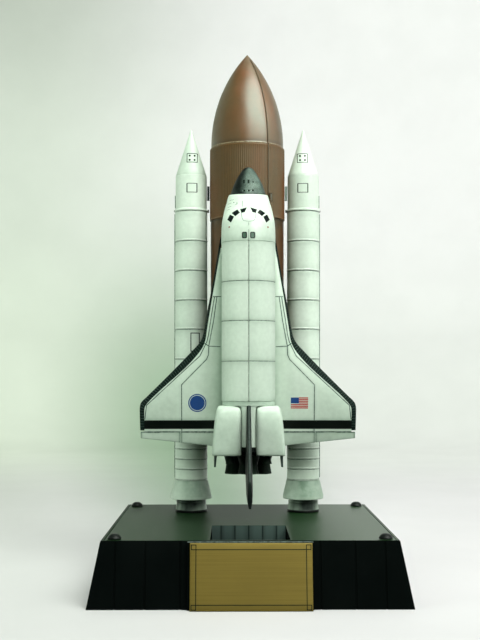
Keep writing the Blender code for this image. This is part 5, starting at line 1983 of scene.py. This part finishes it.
    def aft(self) -> list[Patch]:
        """The aft part: the collar and the shouldered body, with black below its base line and painted shade
        on the collar and on the fin's ridge.
        """
        patches = []
        for points in (self.collar(), self.shouldered()):
            height = points[..., 2]
            dark = np.maximum(self.under_black(points), ease(height, self.base_z + 0.01, self.base_z - 0.01))
            # painted shade on the fin's ridge between the pods and on the collar
            ridge = ease(points[..., 1], -44.6, -46.0) * (height <= self.collar_z)
            wash = 0.25 * bump(height, [self.bay_low_z], 1.0) + 0.3 * ridge
            wash = wash + 0.48 * (height > self.collar_z - 0.01)
            patches += capped(points, {Mark.DARK: dark, Mark.WASH: wash})
        patches[-2].marks = {Mark.DARK: 1.0}
        return patches

    def build(self) -> None:
        """Make the fuselage's pieces."""
        make_piece("nose_cap_skin", self.cap(), CAP_GREY, replaces=["nose_cap"])
        make_piece("forward_fuselage_skin", self.forward(), WHITE, replaces=["forward_fuselage"])
        self.windows()
        self.markings()
        make_piece("mid_fuselage_trough", self.middle(), WHITE, replaces=["mid_fuselage"])
        make_piece("aft_fuselage_skin", self.aft(), WHITE, replaces=["aft_fuselage"])


@dataclass
class BayDoor:
    """One payload bay door: a curved shell with engraved cross lines, riding on its hinge."""

    side: Side
    body: Body
    thick: float = 1.25
    hinge_rise: float = 14.0                 # angle of the hinge's line above the bay's middle, in degrees
    hinge_r: float = 14.0
    bead_r: float = 0.4
    cross_z: tuple[float, ...] = (156.1, 135.7, 114.9)

    def shell(self) -> list[Patch]:
        """The shell: outer arc, round bead on the hinge's axis and inner arc, drawn along the bay.

        The outer arc's radius dips at each engraved line, and its marks shade each panel's borders.

        Returns:
            The patches of the closed shell.
        """
        low, high = self.body.bay_low_z + 0.06, self.body.bay_high_z - 0.10
        cross = np.array(self.cross_z)
        z = rows_between(low, high, 1.4, cross[:, None] + np.linspace(-0.5, 0.5, 9),
                         np.array([low + 0.15, low + 0.4, high - 0.15, high - 0.4]))[:, None]
        top = 90.0 - math.degrees(0.15 / self.body.roof_r)
        turn = np.radians(np.concatenate([np.linspace(top, top - 1.2, 4), np.linspace(top - 4.0, 24.0, 22),
                                          np.linspace(22.5, self.hinge_rise + 1.8, 6)]))
        ends = np.minimum(ease(z, low, low + 0.15), ease(z, high, high - 0.15))
        dip = 0.14 * bump(z, cross, 0.17) + 0.12 * (1 - ends)
        rim = 0.10 * ease(turn, math.radians(top - 0.7), math.radians(top))
        outer_r = self.body.roof_r - dip - rim
        outer = np.stack([outer_r * np.cos(turn), outer_r * np.sin(turn)], -1)
        hinge = arc((0.0, 0.0), self.hinge_r, self.hinge_rise, self.hinge_rise, 0)[0]
        bead = arc(hinge, self.bead_r, self.hinge_rise + 40.0, self.hinge_rise - 135.0, 7)
        inner = arc((0.0, 0.0), self.body.roof_r - self.thick, self.hinge_rise + 0.5, top,
                    len(turn) + len(bead) - 1)
        section = np.concatenate([outer, *[np.broadcast_to(part, (len(z), *part.shape))
                                           for part in (bead, inner)]], 1)
        x = self.side.value * section[..., 0]
        points = gather(x, self.body.middle_y - section[..., 1], z)
        inside = np.arange(points.shape[1]) >= len(turn) + len(bead)
        # painted shade inside the door
        marks = {Mark.WASH: np.clip(np.where(inside, 0.35, self.shading(x, z, low, high)), 0.0, 0.8),
                 Mark.INK: np.where(inside, 0.0, 0.9 * bump(z, cross, 0.17))}
        return capped(points, marks, ladder)

    def shading(self, x: np.ndarray, z: np.ndarray, low: float, high: float) -> np.ndarray:
        """Airbrushing and painted shade of the outside: beside each line, along the middle, low on the flank,
        lower down and more on the right door.

        Args:
            x: distances to the right.
            z: heights.
            low: the door's lower end.
            high: its upper end.

        Returns:
            How strong it is at each point.
        """
        lines = np.array([*self.cross_z, low - 0.1, high + 0.1])
        near = np.exp(-np.abs(z - lines).min(1, keepdims=True) / 1.7)
        # painted shade, heavier lower down and on the right door
        even = 0.09 + 0.05 * self.side.value + 0.10 * ease(z, 150.0, 105.0)
        return 0.34 * near + 0.08 * np.exp(-np.abs(x) / 0.9) + 0.14 * ease(np.abs(x), 11.6, 13.9) + even

    def build(self) -> None:
        """Make the door."""
        label = self.side.label
        make_piece(f"bay_door_shell_{label}", self.shell(), WHITE, body=f"door_{label}",
                   replaces=[f"bay_door_{label}"])


@dataclass
class Wing:
    """One wing: panel, black segmented leading edge, two elevons and its marking."""

    side: Side
    body: Body
    root_x: float = 13.85
    tip_x: float = 57.9
    hinge_z: float = 77.3
    stripe_z: tuple[float, float] = (78.8, 83.5)
    split_x: float = 36.0
    dihedral_deg: float = 3.5
    root_thick: float = 6.5
    tip_thick: float = 1.6
    tick_pitch: float = 1.45
    disc: tuple[float, float, float] = (-27.1, 92.8, 4.85)    # x, z and radius, on the left wing
    disc_ring: tuple[float, float] = (3.95, 4.25)
    patch_x: tuple[float, float] = (22.9, 32.1)    # on the right wing
    patch_z: tuple[float, float] = (89.9, 95.7)
    patch_stripes: int = 13
    corner_stripe: int = 6                   # the blue corner starts above this many stripes
    corner_wide: float = 4.3
    # Along the leading edge from the glove to the wing tip: outer x, outer z, inner x, inner z
    edge_roots: tuple = (
        (14.7, 182.0, 14.3, 182.0),
        (15.3, 179.0, 14.4, 179.0),
    )
    edge_stations: tuple = (
        (15.7, 176.4, 14.6, 176.4),
        (16.95, 168.9, 15.8, 168.9),
        (18.6, 159.1, 17.4, 159.1),
        (20.3, 150.1, 19.0, 150.1),
        (21.7, 142.7, 20.2, 142.7),
        (23.4, 132.3, 21.9, 132.0),
        (24.5, 128.0, 22.6, 127.0),
        (26.2, 124.9, 23.7, 123.6),
        (30.2, 120.4, 28.0, 117.4),
        (54.5, 95.8, 52.3, 94.3),
        (56.4, 94.0, 54.3, 92.0),
        (57.6, 92.1, 55.1, 90.6),
        (58.0, 89.5, 55.4, 88.9),
        (57.7, 78.1, 55.4, 78.1),
    )

    def floor(self, x: np.ndarray) -> np.ndarray:
        """Depth of the wing's flat lower side, which rises outwards with the dihedral."""
        return self.body.belly_y - (x - self.root_x) * math.tan(math.radians(self.dihedral_deg))

    def edge_z(self, x: np.ndarray, share: float) -> np.ndarray:
        """Height of a line between the leading edge's outer line and inner line.

        Args:
            x: distances from the middle.
            share: 0 for the outer line, 1 for the inner one.

        Returns:
            The heights.
        """
        table = np.array(self.edge_stations[:-2])
        line_x, line_z = (table[:, k] * (1 - share) + table[:, k + 2] * share for k in (0, 1))
        return np.interp(x, line_x, line_z)

    def trailing_z(self, x: np.ndarray) -> np.ndarray:
        """Height of the elevons' trailing edge."""
        return 69.0 + (x - self.root_x) * 0.112

    def rise(self, x: np.ndarray, z: np.ndarray) -> np.ndarray:
        """Thickness of the wing at each place.

        The usual four-digit wing section, fullest a third of the way back from the leading edge, with its
        full thickness falling evenly from root to tip.

        Args:
            x: distances from the middle.
            z: heights.

        Returns:
            The thickness, never less than that of the thin edge.
        """
        edge, thin = self.edge_z(x, 0.0), 0.35
        share = np.clip((edge - z) / (edge - self.trailing_z(x)), 0.0, 1.0)
        form = 5 * (0.2969 * np.sqrt(share) - 0.126 * share - 0.3516 * share ** 2 + 0.2843 * share ** 3
                    - 0.1036 * share ** 4)
        outward_share = (x - self.root_x) / (self.tip_x - self.root_x)
        full = self.root_thick + (self.tip_thick - self.root_thick) * outward_share
        return thin + 2 * form * (full - thin)

    def top(self, x: np.ndarray, z: np.ndarray) -> np.ndarray:
        """Depth of the wing's upper side."""
        across = np.abs(x)
        return self.floor(across) - self.rise(across, z)

    def slices(self, x: np.ndarray, z: np.ndarray) -> np.ndarray:
        """Closed sections of the wing: the upper side down the columns and the lower side back up.

        Args:
            x: one distance from the middle for each section.
            z: heights for each section, falling.

        Returns:
            Points by section and round it, on this wing's side.
        """
        across = x[:, None] + 0.0 * z
        floor = self.floor(across)
        upper, lower = gather(across, floor - self.rise(across, z), z), gather(across, floor, z)
        return np.concatenate([upper, lower[:, ::-1]], 1) * (self.side.value, 1, 1)

    def panel(self) -> list[Patch]:
        """The wing panel from the leading edge band back to the elevons, with its black stripe and painted
        shade by the body, lower down, above the stripe, outwards and more on the left wing.
        """
        stations = np.array(self.edge_stations)
        x = rows_between(self.root_x, 55.4, 0.9, stations[2:9, 2], np.array([20.6, 25.0]))
        high, low = self.edge_z(x, 0.95)[:, None], self.hinge_z + 0.02
        stripe_low, stripe_high = self.stripe_z
        stripe = np.array([stripe_high + 0.02, stripe_high - 0.02, stripe_low + 0.02, stripe_low - 0.02,
                           low + 0.3, low + 0.2, low])
        upper = high + (stripe[0] - high) * np.linspace(0.0, 1.0, 56)[:-1] ** 1.25
        z = np.concatenate([upper, np.broadcast_to(stripe, (len(x), len(stripe)))], 1)
        points = self.slices(x, z)
        height, across = points[..., 2], np.abs(points[..., 0])
        under = np.arange(points.shape[1]) >= z.shape[1]
        black = ((height < stripe_high) & (height > stripe_low)) | under
        beside = across - self.root_x
        # painted shade by the body, lower down, above the stripe, outwards and more on the left wing
        wash = (0.55 * np.exp(-beside / 1.6) + 0.16 * ease(height, 160.0, 125.0) * np.exp(-beside / 9.0)
                + 0.22 * bump(height, [stripe_high], 1.4) + 0.22 * ease(across, 24.0, 50.0)
                + 0.125 - 0.055 * self.side.value)
        marks = {Mark.DARK: black * 1.0, Mark.WASH: np.clip(wash, 0.0, 0.8),
                 Mark.INK: 0.8 * (height < low + 0.25)}
        return capped(points, marks, ladder)

    def edge_band(self) -> list[Patch]:
        """The black leading edge: half ellipses from its inner line round its nose, along the edge.

        At each place along the edge, the point at angle a lies the cosine of a of the way from the inner
        to the outer line, and the sine of a of half the wing's thickness above the middle.

        Returns:
            The patches of the closed band.
        """
        table = np.array([*self.edge_roots, *self.edge_stations])
        middle = (table[:, :2] + table[:, 2:]) / 2
        reach = np.concatenate([[0.0], np.cumsum(np.linalg.norm(np.diff(middle, axis=0), axis=1))])
        ticks = np.arange(4.0, reach[-1] - 1.0, self.tick_pitch)
        along = rows_between(0.0, reach[-1], 1.0, ticks[:, None] + np.array([-0.12, -0.07, 0.07, 0.12]))
        outer_x, outer_z, inner_x, inner_z = hermite(np.column_stack([reach, table]), along).T
        turn = np.linspace(np.pi / 2, -np.pi / 2, 19)
        share, up = np.cos(turn) ** 0.85, np.sin(turn)
        inside = np.minimum(inner_x, 55.3)
        thick = self.rise(inside, np.minimum(inner_z, self.edge_z(inside, 1.0)))
        floor_in, floor_out = self.floor(inner_x), self.floor(outer_x) - 0.55
        x = inner_x[:, None] + (outer_x - inner_x)[:, None] * share
        z = inner_z[:, None] + (outer_z - inner_z)[:, None] * share
        level = (floor_in - thick / 2)[:, None] * (1 - share) + floor_out[:, None] * share
        y = level - (thick / 2 + 0.07)[:, None] * up
        points = np.stack([x * self.side.value, y, z], -1)
        tick = (np.abs(along[:, None] - ticks).min(1) < 0.08) * ease(along, reach[6], reach[8])
        ends = [ladder(np.concatenate([row, row[-1:]])) for row in points[[0, -1]]]
        return [Patch(points, True, {Mark.WORN: 0.2 * tick[:, None]}), *ends]

    def elevon(self, near_x: float, far_x: float) -> list[Patch]:
        """One elevon: the wing's section from its hinge line to the trailing edge, in painted shade heavier
        at its hinge, low down and at its ends.

        Args:
            near_x: its end towards the body.
            far_x: its end towards the tip.

        Returns:
            The patches of the closed elevon.
        """
        x = rows_between(near_x, far_x, 1.2, np.array([near_x + 0.15, far_x - 0.15]))
        high = self.hinge_z - 0.02
        share = np.concatenate([[0.0, 0.03, 0.06], np.linspace(0.12, 0.9, 13), [0.95, 0.98, 1.0]])
        z = high + (self.trailing_z(x)[:, None] - high) * share
        points = self.slices(x, z)
        height, across = points[..., 2], np.abs(points[..., 0])
        # painted shade, heavier at the hinge, low down and at the ends
        wash = 0.38 + 0.2 * bump(height, [high], 1.0) + 0.12 * ease(height, 73.5, 70.0)
        wash = wash + 0.3 * bump(across, [near_x, far_x], 0.8)
        ink = np.maximum(0.75 * (height > high - 0.55), 0.6 * bump(across, [near_x, far_x], 0.2))
        ink = np.maximum(ink, 0.5 * bump(height - self.trailing_z(across), [0.0], 0.3))
        under = np.arange(points.shape[1]) >= z.shape[1]
        marks = {Mark.WASH: np.clip(wash, 0, 0.8), Mark.DARK: 1.0 * under, Mark.INK: ink}
        return capped(points, marks, ladder)

    def disc_marking(self) -> None:
        """Make the left wing's plain blue disc with its pale ring."""
        x, z, reach = self.disc
        make_piece("wing_disc", plaque(*disc_places(x, z, 0.0, reach, 56), self.top, wrap=True), BLUE)
        ring = plaque(*disc_places(x, z, *self.disc_ring, 56), self.top, lift=0.09, wrap=True)
        inner = Patch(np.stack([patch.points[0] for patch in ring[:2]]), wrap=True)
        make_piece("wing_disc_ring", [*ring, inner], PALE)

    def patch_marking(self) -> None:
        """Make the right wing's striped patch with its plain blue corner."""
        (low_x, high_x), (low_z, high_z) = self.patch_x, self.patch_z
        step, corner_x = (high_z - low_z) / self.patch_stripes, low_x + self.corner_wide
        stripes = {RED: [], PALE: []}
        for number in range(self.patch_stripes):
            finish, grow = (PALE, -0.08) if number % 2 else (RED, 0.08)
            left = corner_x if number >= self.corner_stripe else low_x
            low = low_z + number * step
            corners = rectangle(left, high_x, low - grow, low + step + grow)
            stripes[finish] += plaque(*quad_places(corners, 2, 9), self.top, lift=0.05)
        make_piece("wing_patch_red", stripes[RED], RED)
        make_piece("wing_patch_pale", stripes[PALE], PALE)
        corner = rectangle(low_x, corner_x, low_z + self.corner_stripe * step, high_z)
        make_piece("wing_patch_blue", tiles([corner], self.top, 0.05, 5), BLUE)

    def build(self) -> None:
        """Make the wing's pieces."""
        label = self.side.label
        make_piece(f"wing_panel_skin_{label}", self.panel(), WING_WHITE, replaces=[f"wing_panel_{label}"])
        make_piece(f"leading_edge_band_{label}", self.edge_band(), EDGE_BLACK,
                   replaces=[f"leading_edge_{label}"])
        parts = (("inner", self.root_x + 0.4, self.split_x), ("outer", self.split_x + SEAM, 57.4))
        for part, near_x, far_x in parts:
            make_piece(f"elevon_{part}_skin_{label}", self.elevon(near_x, far_x), WHITE,
                       replaces=[f"elevon_{part}_{label}"])
        if self.side is Side.LEFT:
            self.disc_marking()
        else:
            self.patch_marking()


@dataclass
class Pod:
    """One tail pod with its nozzle and its thruster tail."""

    side: Side
    foot_y: float = -44.75
    low_z: float = 66.6
    square: float = 0.38                     # the smaller, the fuller its corners
    # Height, inner x, outer x and depth of the top of each section
    sections: tuple = (
        (91.9, 5.5, 14.7, -52.2),
        (91.75, 4.9, 15.3, -53.2),
        (91.3, 4.45, 15.8, -54.2),
        (90.3, 4.05, 16.35, -55.3),
        (88.5, 3.85, 16.85, -56.3),
        (85.0, 3.78, 17.4, -57.1),
        (78.0, 3.75, 18.1, -57.6),
        (70.0, 3.7, 18.7, -57.6),
        (66.6, 3.7, 18.9, -57.3),
    )

    def shell(self) -> list[Patch]:
        """The pod: boxes rounded by raising cosine and sine to a power, with a small round top edge, in
        painted shade heavier low down and near its foot, lighter at its top and more on the left pod.
        """
        table = np.array(self.sections)[::-1]
        tip = table[-1, 0]
        z = tip - (tip - self.low_z) * np.linspace(0.0, 1.0, 44) ** 1.9
        z = np.unique(np.concatenate([z, [self.low_z + 0.15, self.low_z + 0.4]]))[::-1]
        inner, outer, top = hermite(table, z).T
        rim = 0.25 * ease(z, self.low_z + 0.4, self.low_z)
        middle_x, half_x = (inner + outer) / 2, (outer - inner) / 2 - rim
        middle_y, half_y = (self.foot_y + top) / 2, (self.foot_y - top) / 2 - rim
        middle_x, half_x, middle_y, half_y, z = (v[:, None] for v in (middle_x, half_x, middle_y, half_y, z))
        turn = full_turn(88)
        cosine, sine = (np.sign(v) * np.abs(v) ** self.square for v in (np.cos(turn), np.sin(turn)))
        y = middle_y - half_y * sine
        points = gather(self.side.value * (middle_x + half_x * cosine), y, z)
        # painted shade, heavier low down and near the foot, lighter at the top
        wash = (0.38 - 0.04 * self.side.value + 0.15 * bump(z, [self.low_z], 1.2)
                + 0.25 * ease(y, -49.0, -45.0) - 0.2 * ease(z, 89.0, 91.5))
        return capped(points, {Mark.WASH: wash})

    def nozzle(self) -> list[Patch]:
        """The pod's nozzle: a small hollow bell."""
        top = self.low_z - SEAM
        outline = rounded([(1.5, top), (1.7, 65.5), (2.5, 62.3), (2.2, 62.3), (1.2, 65.0)], 0.3)
        profile = np.concatenate([[(0.0, top)], outline, [(0.0, 65.2)]])
        return [turned(profile, 40, self.side.value * 9.4, -52.6)]

    def thruster(self) -> list[Patch]:
        """The thruster tail: a slim box with round edges that narrows downwards."""
        heights = np.array([self.low_z - SEAM, 66.0, 60.4, 60.2])
        sections = []
        for near in (16.2, 16.35, 16.9, 17.0):
            section = rounded([(17.0, -49.6), (near, -49.6), (near, -46.6), (17.9, -46.6), (17.9, -49.6),
                               (17.0, -49.6)], 0.35, 3)[:-1]
            sections.append(section * (self.side.value, 1))
        z = heights[:, None]
        wash = 0.6 + 0.3 * bump(z, [60.2], 1.5) + 0.3 * bump(z, [66.4], 1.0)
        return capped(drawn(np.stack(sections), heights), {Mark.WASH: wash})

    def build(self) -> None:
        """Make the pod's pieces."""
        label = self.side.label
        make_piece(f"pod_shell_{label}", self.shell(), WHITE, replaces=[f"pod_{label}"])
        make_piece(f"pod_nozzle_bell_{label}", self.nozzle(), SOOT, replaces=[f"pod_nozzle_{label}"])
        make_piece(f"pod_thruster_tail_{label}", self.thruster(), TAIL_GREY,
                   replaces=[f"pod_thruster_{label}"])


@dataclass
class Engines:
    """The three main engines with their heat shields."""

    high_z: float = 68.25
    exit_r: float = 5.45
    neck_r: float = 4.65
    # Name, x, y and height of the exit
    places: tuple = (("left", -7.0, -34.0, 55.5), ("right", 7.0, -34.0, 55.5), ("upper", 0.0, -46.4, 56.6))

    def bell(self, x: float, y: float, low: float) -> Patch:
        """One engine turned about its axis: stem, shield, neck, flared bell with rings, lip and hollow.

        Args:
            x: its axis's distance to the right.
            y: its axis's depth.
            low: height of its exit.

        Returns:
            The turned surface.
        """
        deep = self.high_z - low
        shield_z = self.high_z - 1.85
        outline = rounded([
            (3.2, self.high_z), (3.2, shield_z + 0.1), (self.exit_r * 1.06, shield_z),
            (self.exit_r * 1.06, shield_z - 0.5), (self.exit_r * 1.04, shield_z - deep * 0.14),
            (self.neck_r, self.high_z - deep * 0.6), (self.exit_r * 0.90, self.high_z - deep * 0.76),
            (self.exit_r * 0.96, self.high_z - deep * 0.90), (self.exit_r, low + 0.35), (self.exit_r, low),
            (self.exit_r - 0.45, low), (self.neck_r * 0.75, low + deep * 0.35)], 0.35, 4)
        profile = np.concatenate([[(0.0, self.high_z)], outline, [(0.0, low + deep * 0.4)]])
        patch = turned(profile, 72, x, y)
        height = patch.points[:, :1, 2]
        outside = np.arange(len(profile))[:, None] < len(profile) - 6
        patch.marks = {Mark.WORN: 0.7 * bump(height, [low + 0.25], 0.22) * outside
                       + 0.35 * bump(height, [shield_z - 0.1], 0.3)}
        return patch

    def build(self) -> None:
        """Make the engines."""
        for name, x, y, low in self.places:
            make_piece(f"engine_bell_{name}", [self.bell(x, y, low)], SOOT, replaces=[f"engine_{name}"])


@dataclass
class Fin:
    """The fin with its dark leading edge, and the rudder."""

    root_y: float = -55.65
    rudder_foot: float = 1.0 / 35.35                  # its share of the height
    tip_y: float = -91.0
    lead_z: tuple[float, float] = (92.3, 56.9)        # at root and tip
    rudder_z: tuple[float, float] = (71.5, 50.0)
    trail_z: tuple[float, float] = (61.8, 44.0)
    half: tuple[float, float] = (1.90, 1.45)          # half the blunt trailing edge
    nose: float = 0.55                                # of that half, just behind the leading edge
    waist: float = 0.8                                # of that half, at the rudder's line
    tip_shares: tuple[float, ...] = (0.965, 0.975, 0.985, 0.995, 1.0)

    def at(self, pair: tuple[float, float], share: np.ndarray) -> np.ndarray:
        """A value between root and tip."""
        return pair[0] + (pair[1] - pair[0]) * share

    def halves(self, share: np.ndarray) -> np.ndarray:
        """Half the trailing edge's thickness at each share of the height, with a rounded tip."""
        tip = np.interp(share, (0.965, 0.985, 0.995, 1.0), (1.0, 0.93, 0.8, 0.55))
        return self.at(self.half, share) * tip

    def wedge(self, share: np.ndarray, lead: np.ndarray, trail: np.ndarray, chord: np.ndarray,
              form: np.ndarray) -> np.ndarray:
        """Grid of closed sections, each out along its right side and back along its left side.

        Args:
            share: how far up each section lies, from 0 to 1.
            lead: height of each section's front.
            trail: height of each section's back.
            chord: places from front to back, from 0 to 1.
            form: half the thickness there, against that of the trailing edge.

        Returns:
            Points by section and round it.
        """
        z = lead[:, None] + (trail - lead)[:, None] * chord
        x, y = self.halves(share)[:, None] * form, self.at((self.root_y, self.tip_y), share)[:, None]
        right = gather(x, y, z)
        return np.concatenate([right, right[:, ::-1] * (-1, 1, 1)], 1)

    def blade(self) -> list[Patch]:
        """The fin: a small round nose, behind which it thickens steadily back to the rudder's line."""
        share = np.concatenate([np.linspace(0.0, 0.96, 28), self.tip_shares])
        turn, straight = np.linspace(0.0, np.pi / 2, 7), np.linspace(0.05, 1.0, 14)
        chord = np.concatenate([0.03 * (1 - np.cos(turn)), straight])
        behind = np.interp(straight, (0.03, 1.0), (self.nose, self.waist))
        form = np.concatenate([self.nose * np.sin(turn), behind])
        points = self.wedge(share, self.at(self.lead_z, share), self.at(self.rudder_z, share), chord, form)
        return capped(points, self.marks(points))

    def rudder(self) -> list[Patch]:
        """The rudder: a wedge that goes on thickening to its blunt trailing edge."""
        share = np.concatenate([[self.rudder_foot], np.linspace(0.08, 0.96, 18), self.tip_shares])
        chord = np.array([0.0, 0.02, 0.2, 0.5, 0.8, 0.97, 1.0])
        form = np.interp(chord, (0.0, 0.02, 0.97, 1.0), (self.waist * 0.95, self.waist, 1.0, 0.95))
        lead, trail = self.at(self.rudder_z, share) - SEAM, self.at(self.trail_z, share)
        form = form * (1 - 0.5 * ease(share, 0.7, 1.0)[:, None] * ease(chord, 0.4, 1.0))
        points = self.wedge(share, lead, trail, chord, form)
        return capped(points, self.marks(points), ladder)

    def marks(self, points: np.ndarray) -> Marks:
        """A painted highlight down the middle of the edge that faces the viewer, and painted shade, black
        towards its sides and darker low down.
        """
        near, z = np.abs(points[..., 0]), points[..., 2]
        # painted shade towards the sides and low down
        wash = 0.2 + 0.8 * ease(near, 0.3, 0.9) + 0.6 * ease(z, 62.0, 48.0)
        return {Mark.WORN: bump(near, [0.0], 0.4) * (0.02 + 0.11 * ease(z, 48.0, 66.0)),
                Mark.WASH: np.minimum(wash, 1.0)}

    def build(self) -> None:
        """Make the fin and the rudder."""
        make_piece("fin_blade", self.blade(), FIN_DARK, replaces=["fin"])
        make_piece("rudder_blade", self.rudder(), FIN_DARK, replaces=["rudder"])


def dress_small_nodes() -> None:
    """Finish the small CAD nodes that keep their own shape."""
    dress_nodes(BLACK, "body_flap", "booster_mount_forward_left")
    dress_nodes(TAIL_GREY, "booster_mount_forward_right")
    dress_nodes(BROWN, "bipod_left", "bipod_right", "bipod_yoke", "aft_strut_left", "aft_strut_right",
                "booster_strut_aft_left", "booster_strut_aft_right")


def main() -> None:
    """Build the studio and every sub-assembly in order."""
    logging.basicConfig(level=logging.INFO, format="%(name)s: %(message)s")
    Studio().build()
    Plinth().build()
    Tank().build()
    body = Body()
    body.build()
    for side in Side:
        Booster(side).build()
        BayDoor(side, body).build()
        Wing(side, body).build()
        Pod(side).build()
    Engines().build()
    Fin().build()
    dress_small_nodes()


if __name__ == "__main__":
    main()
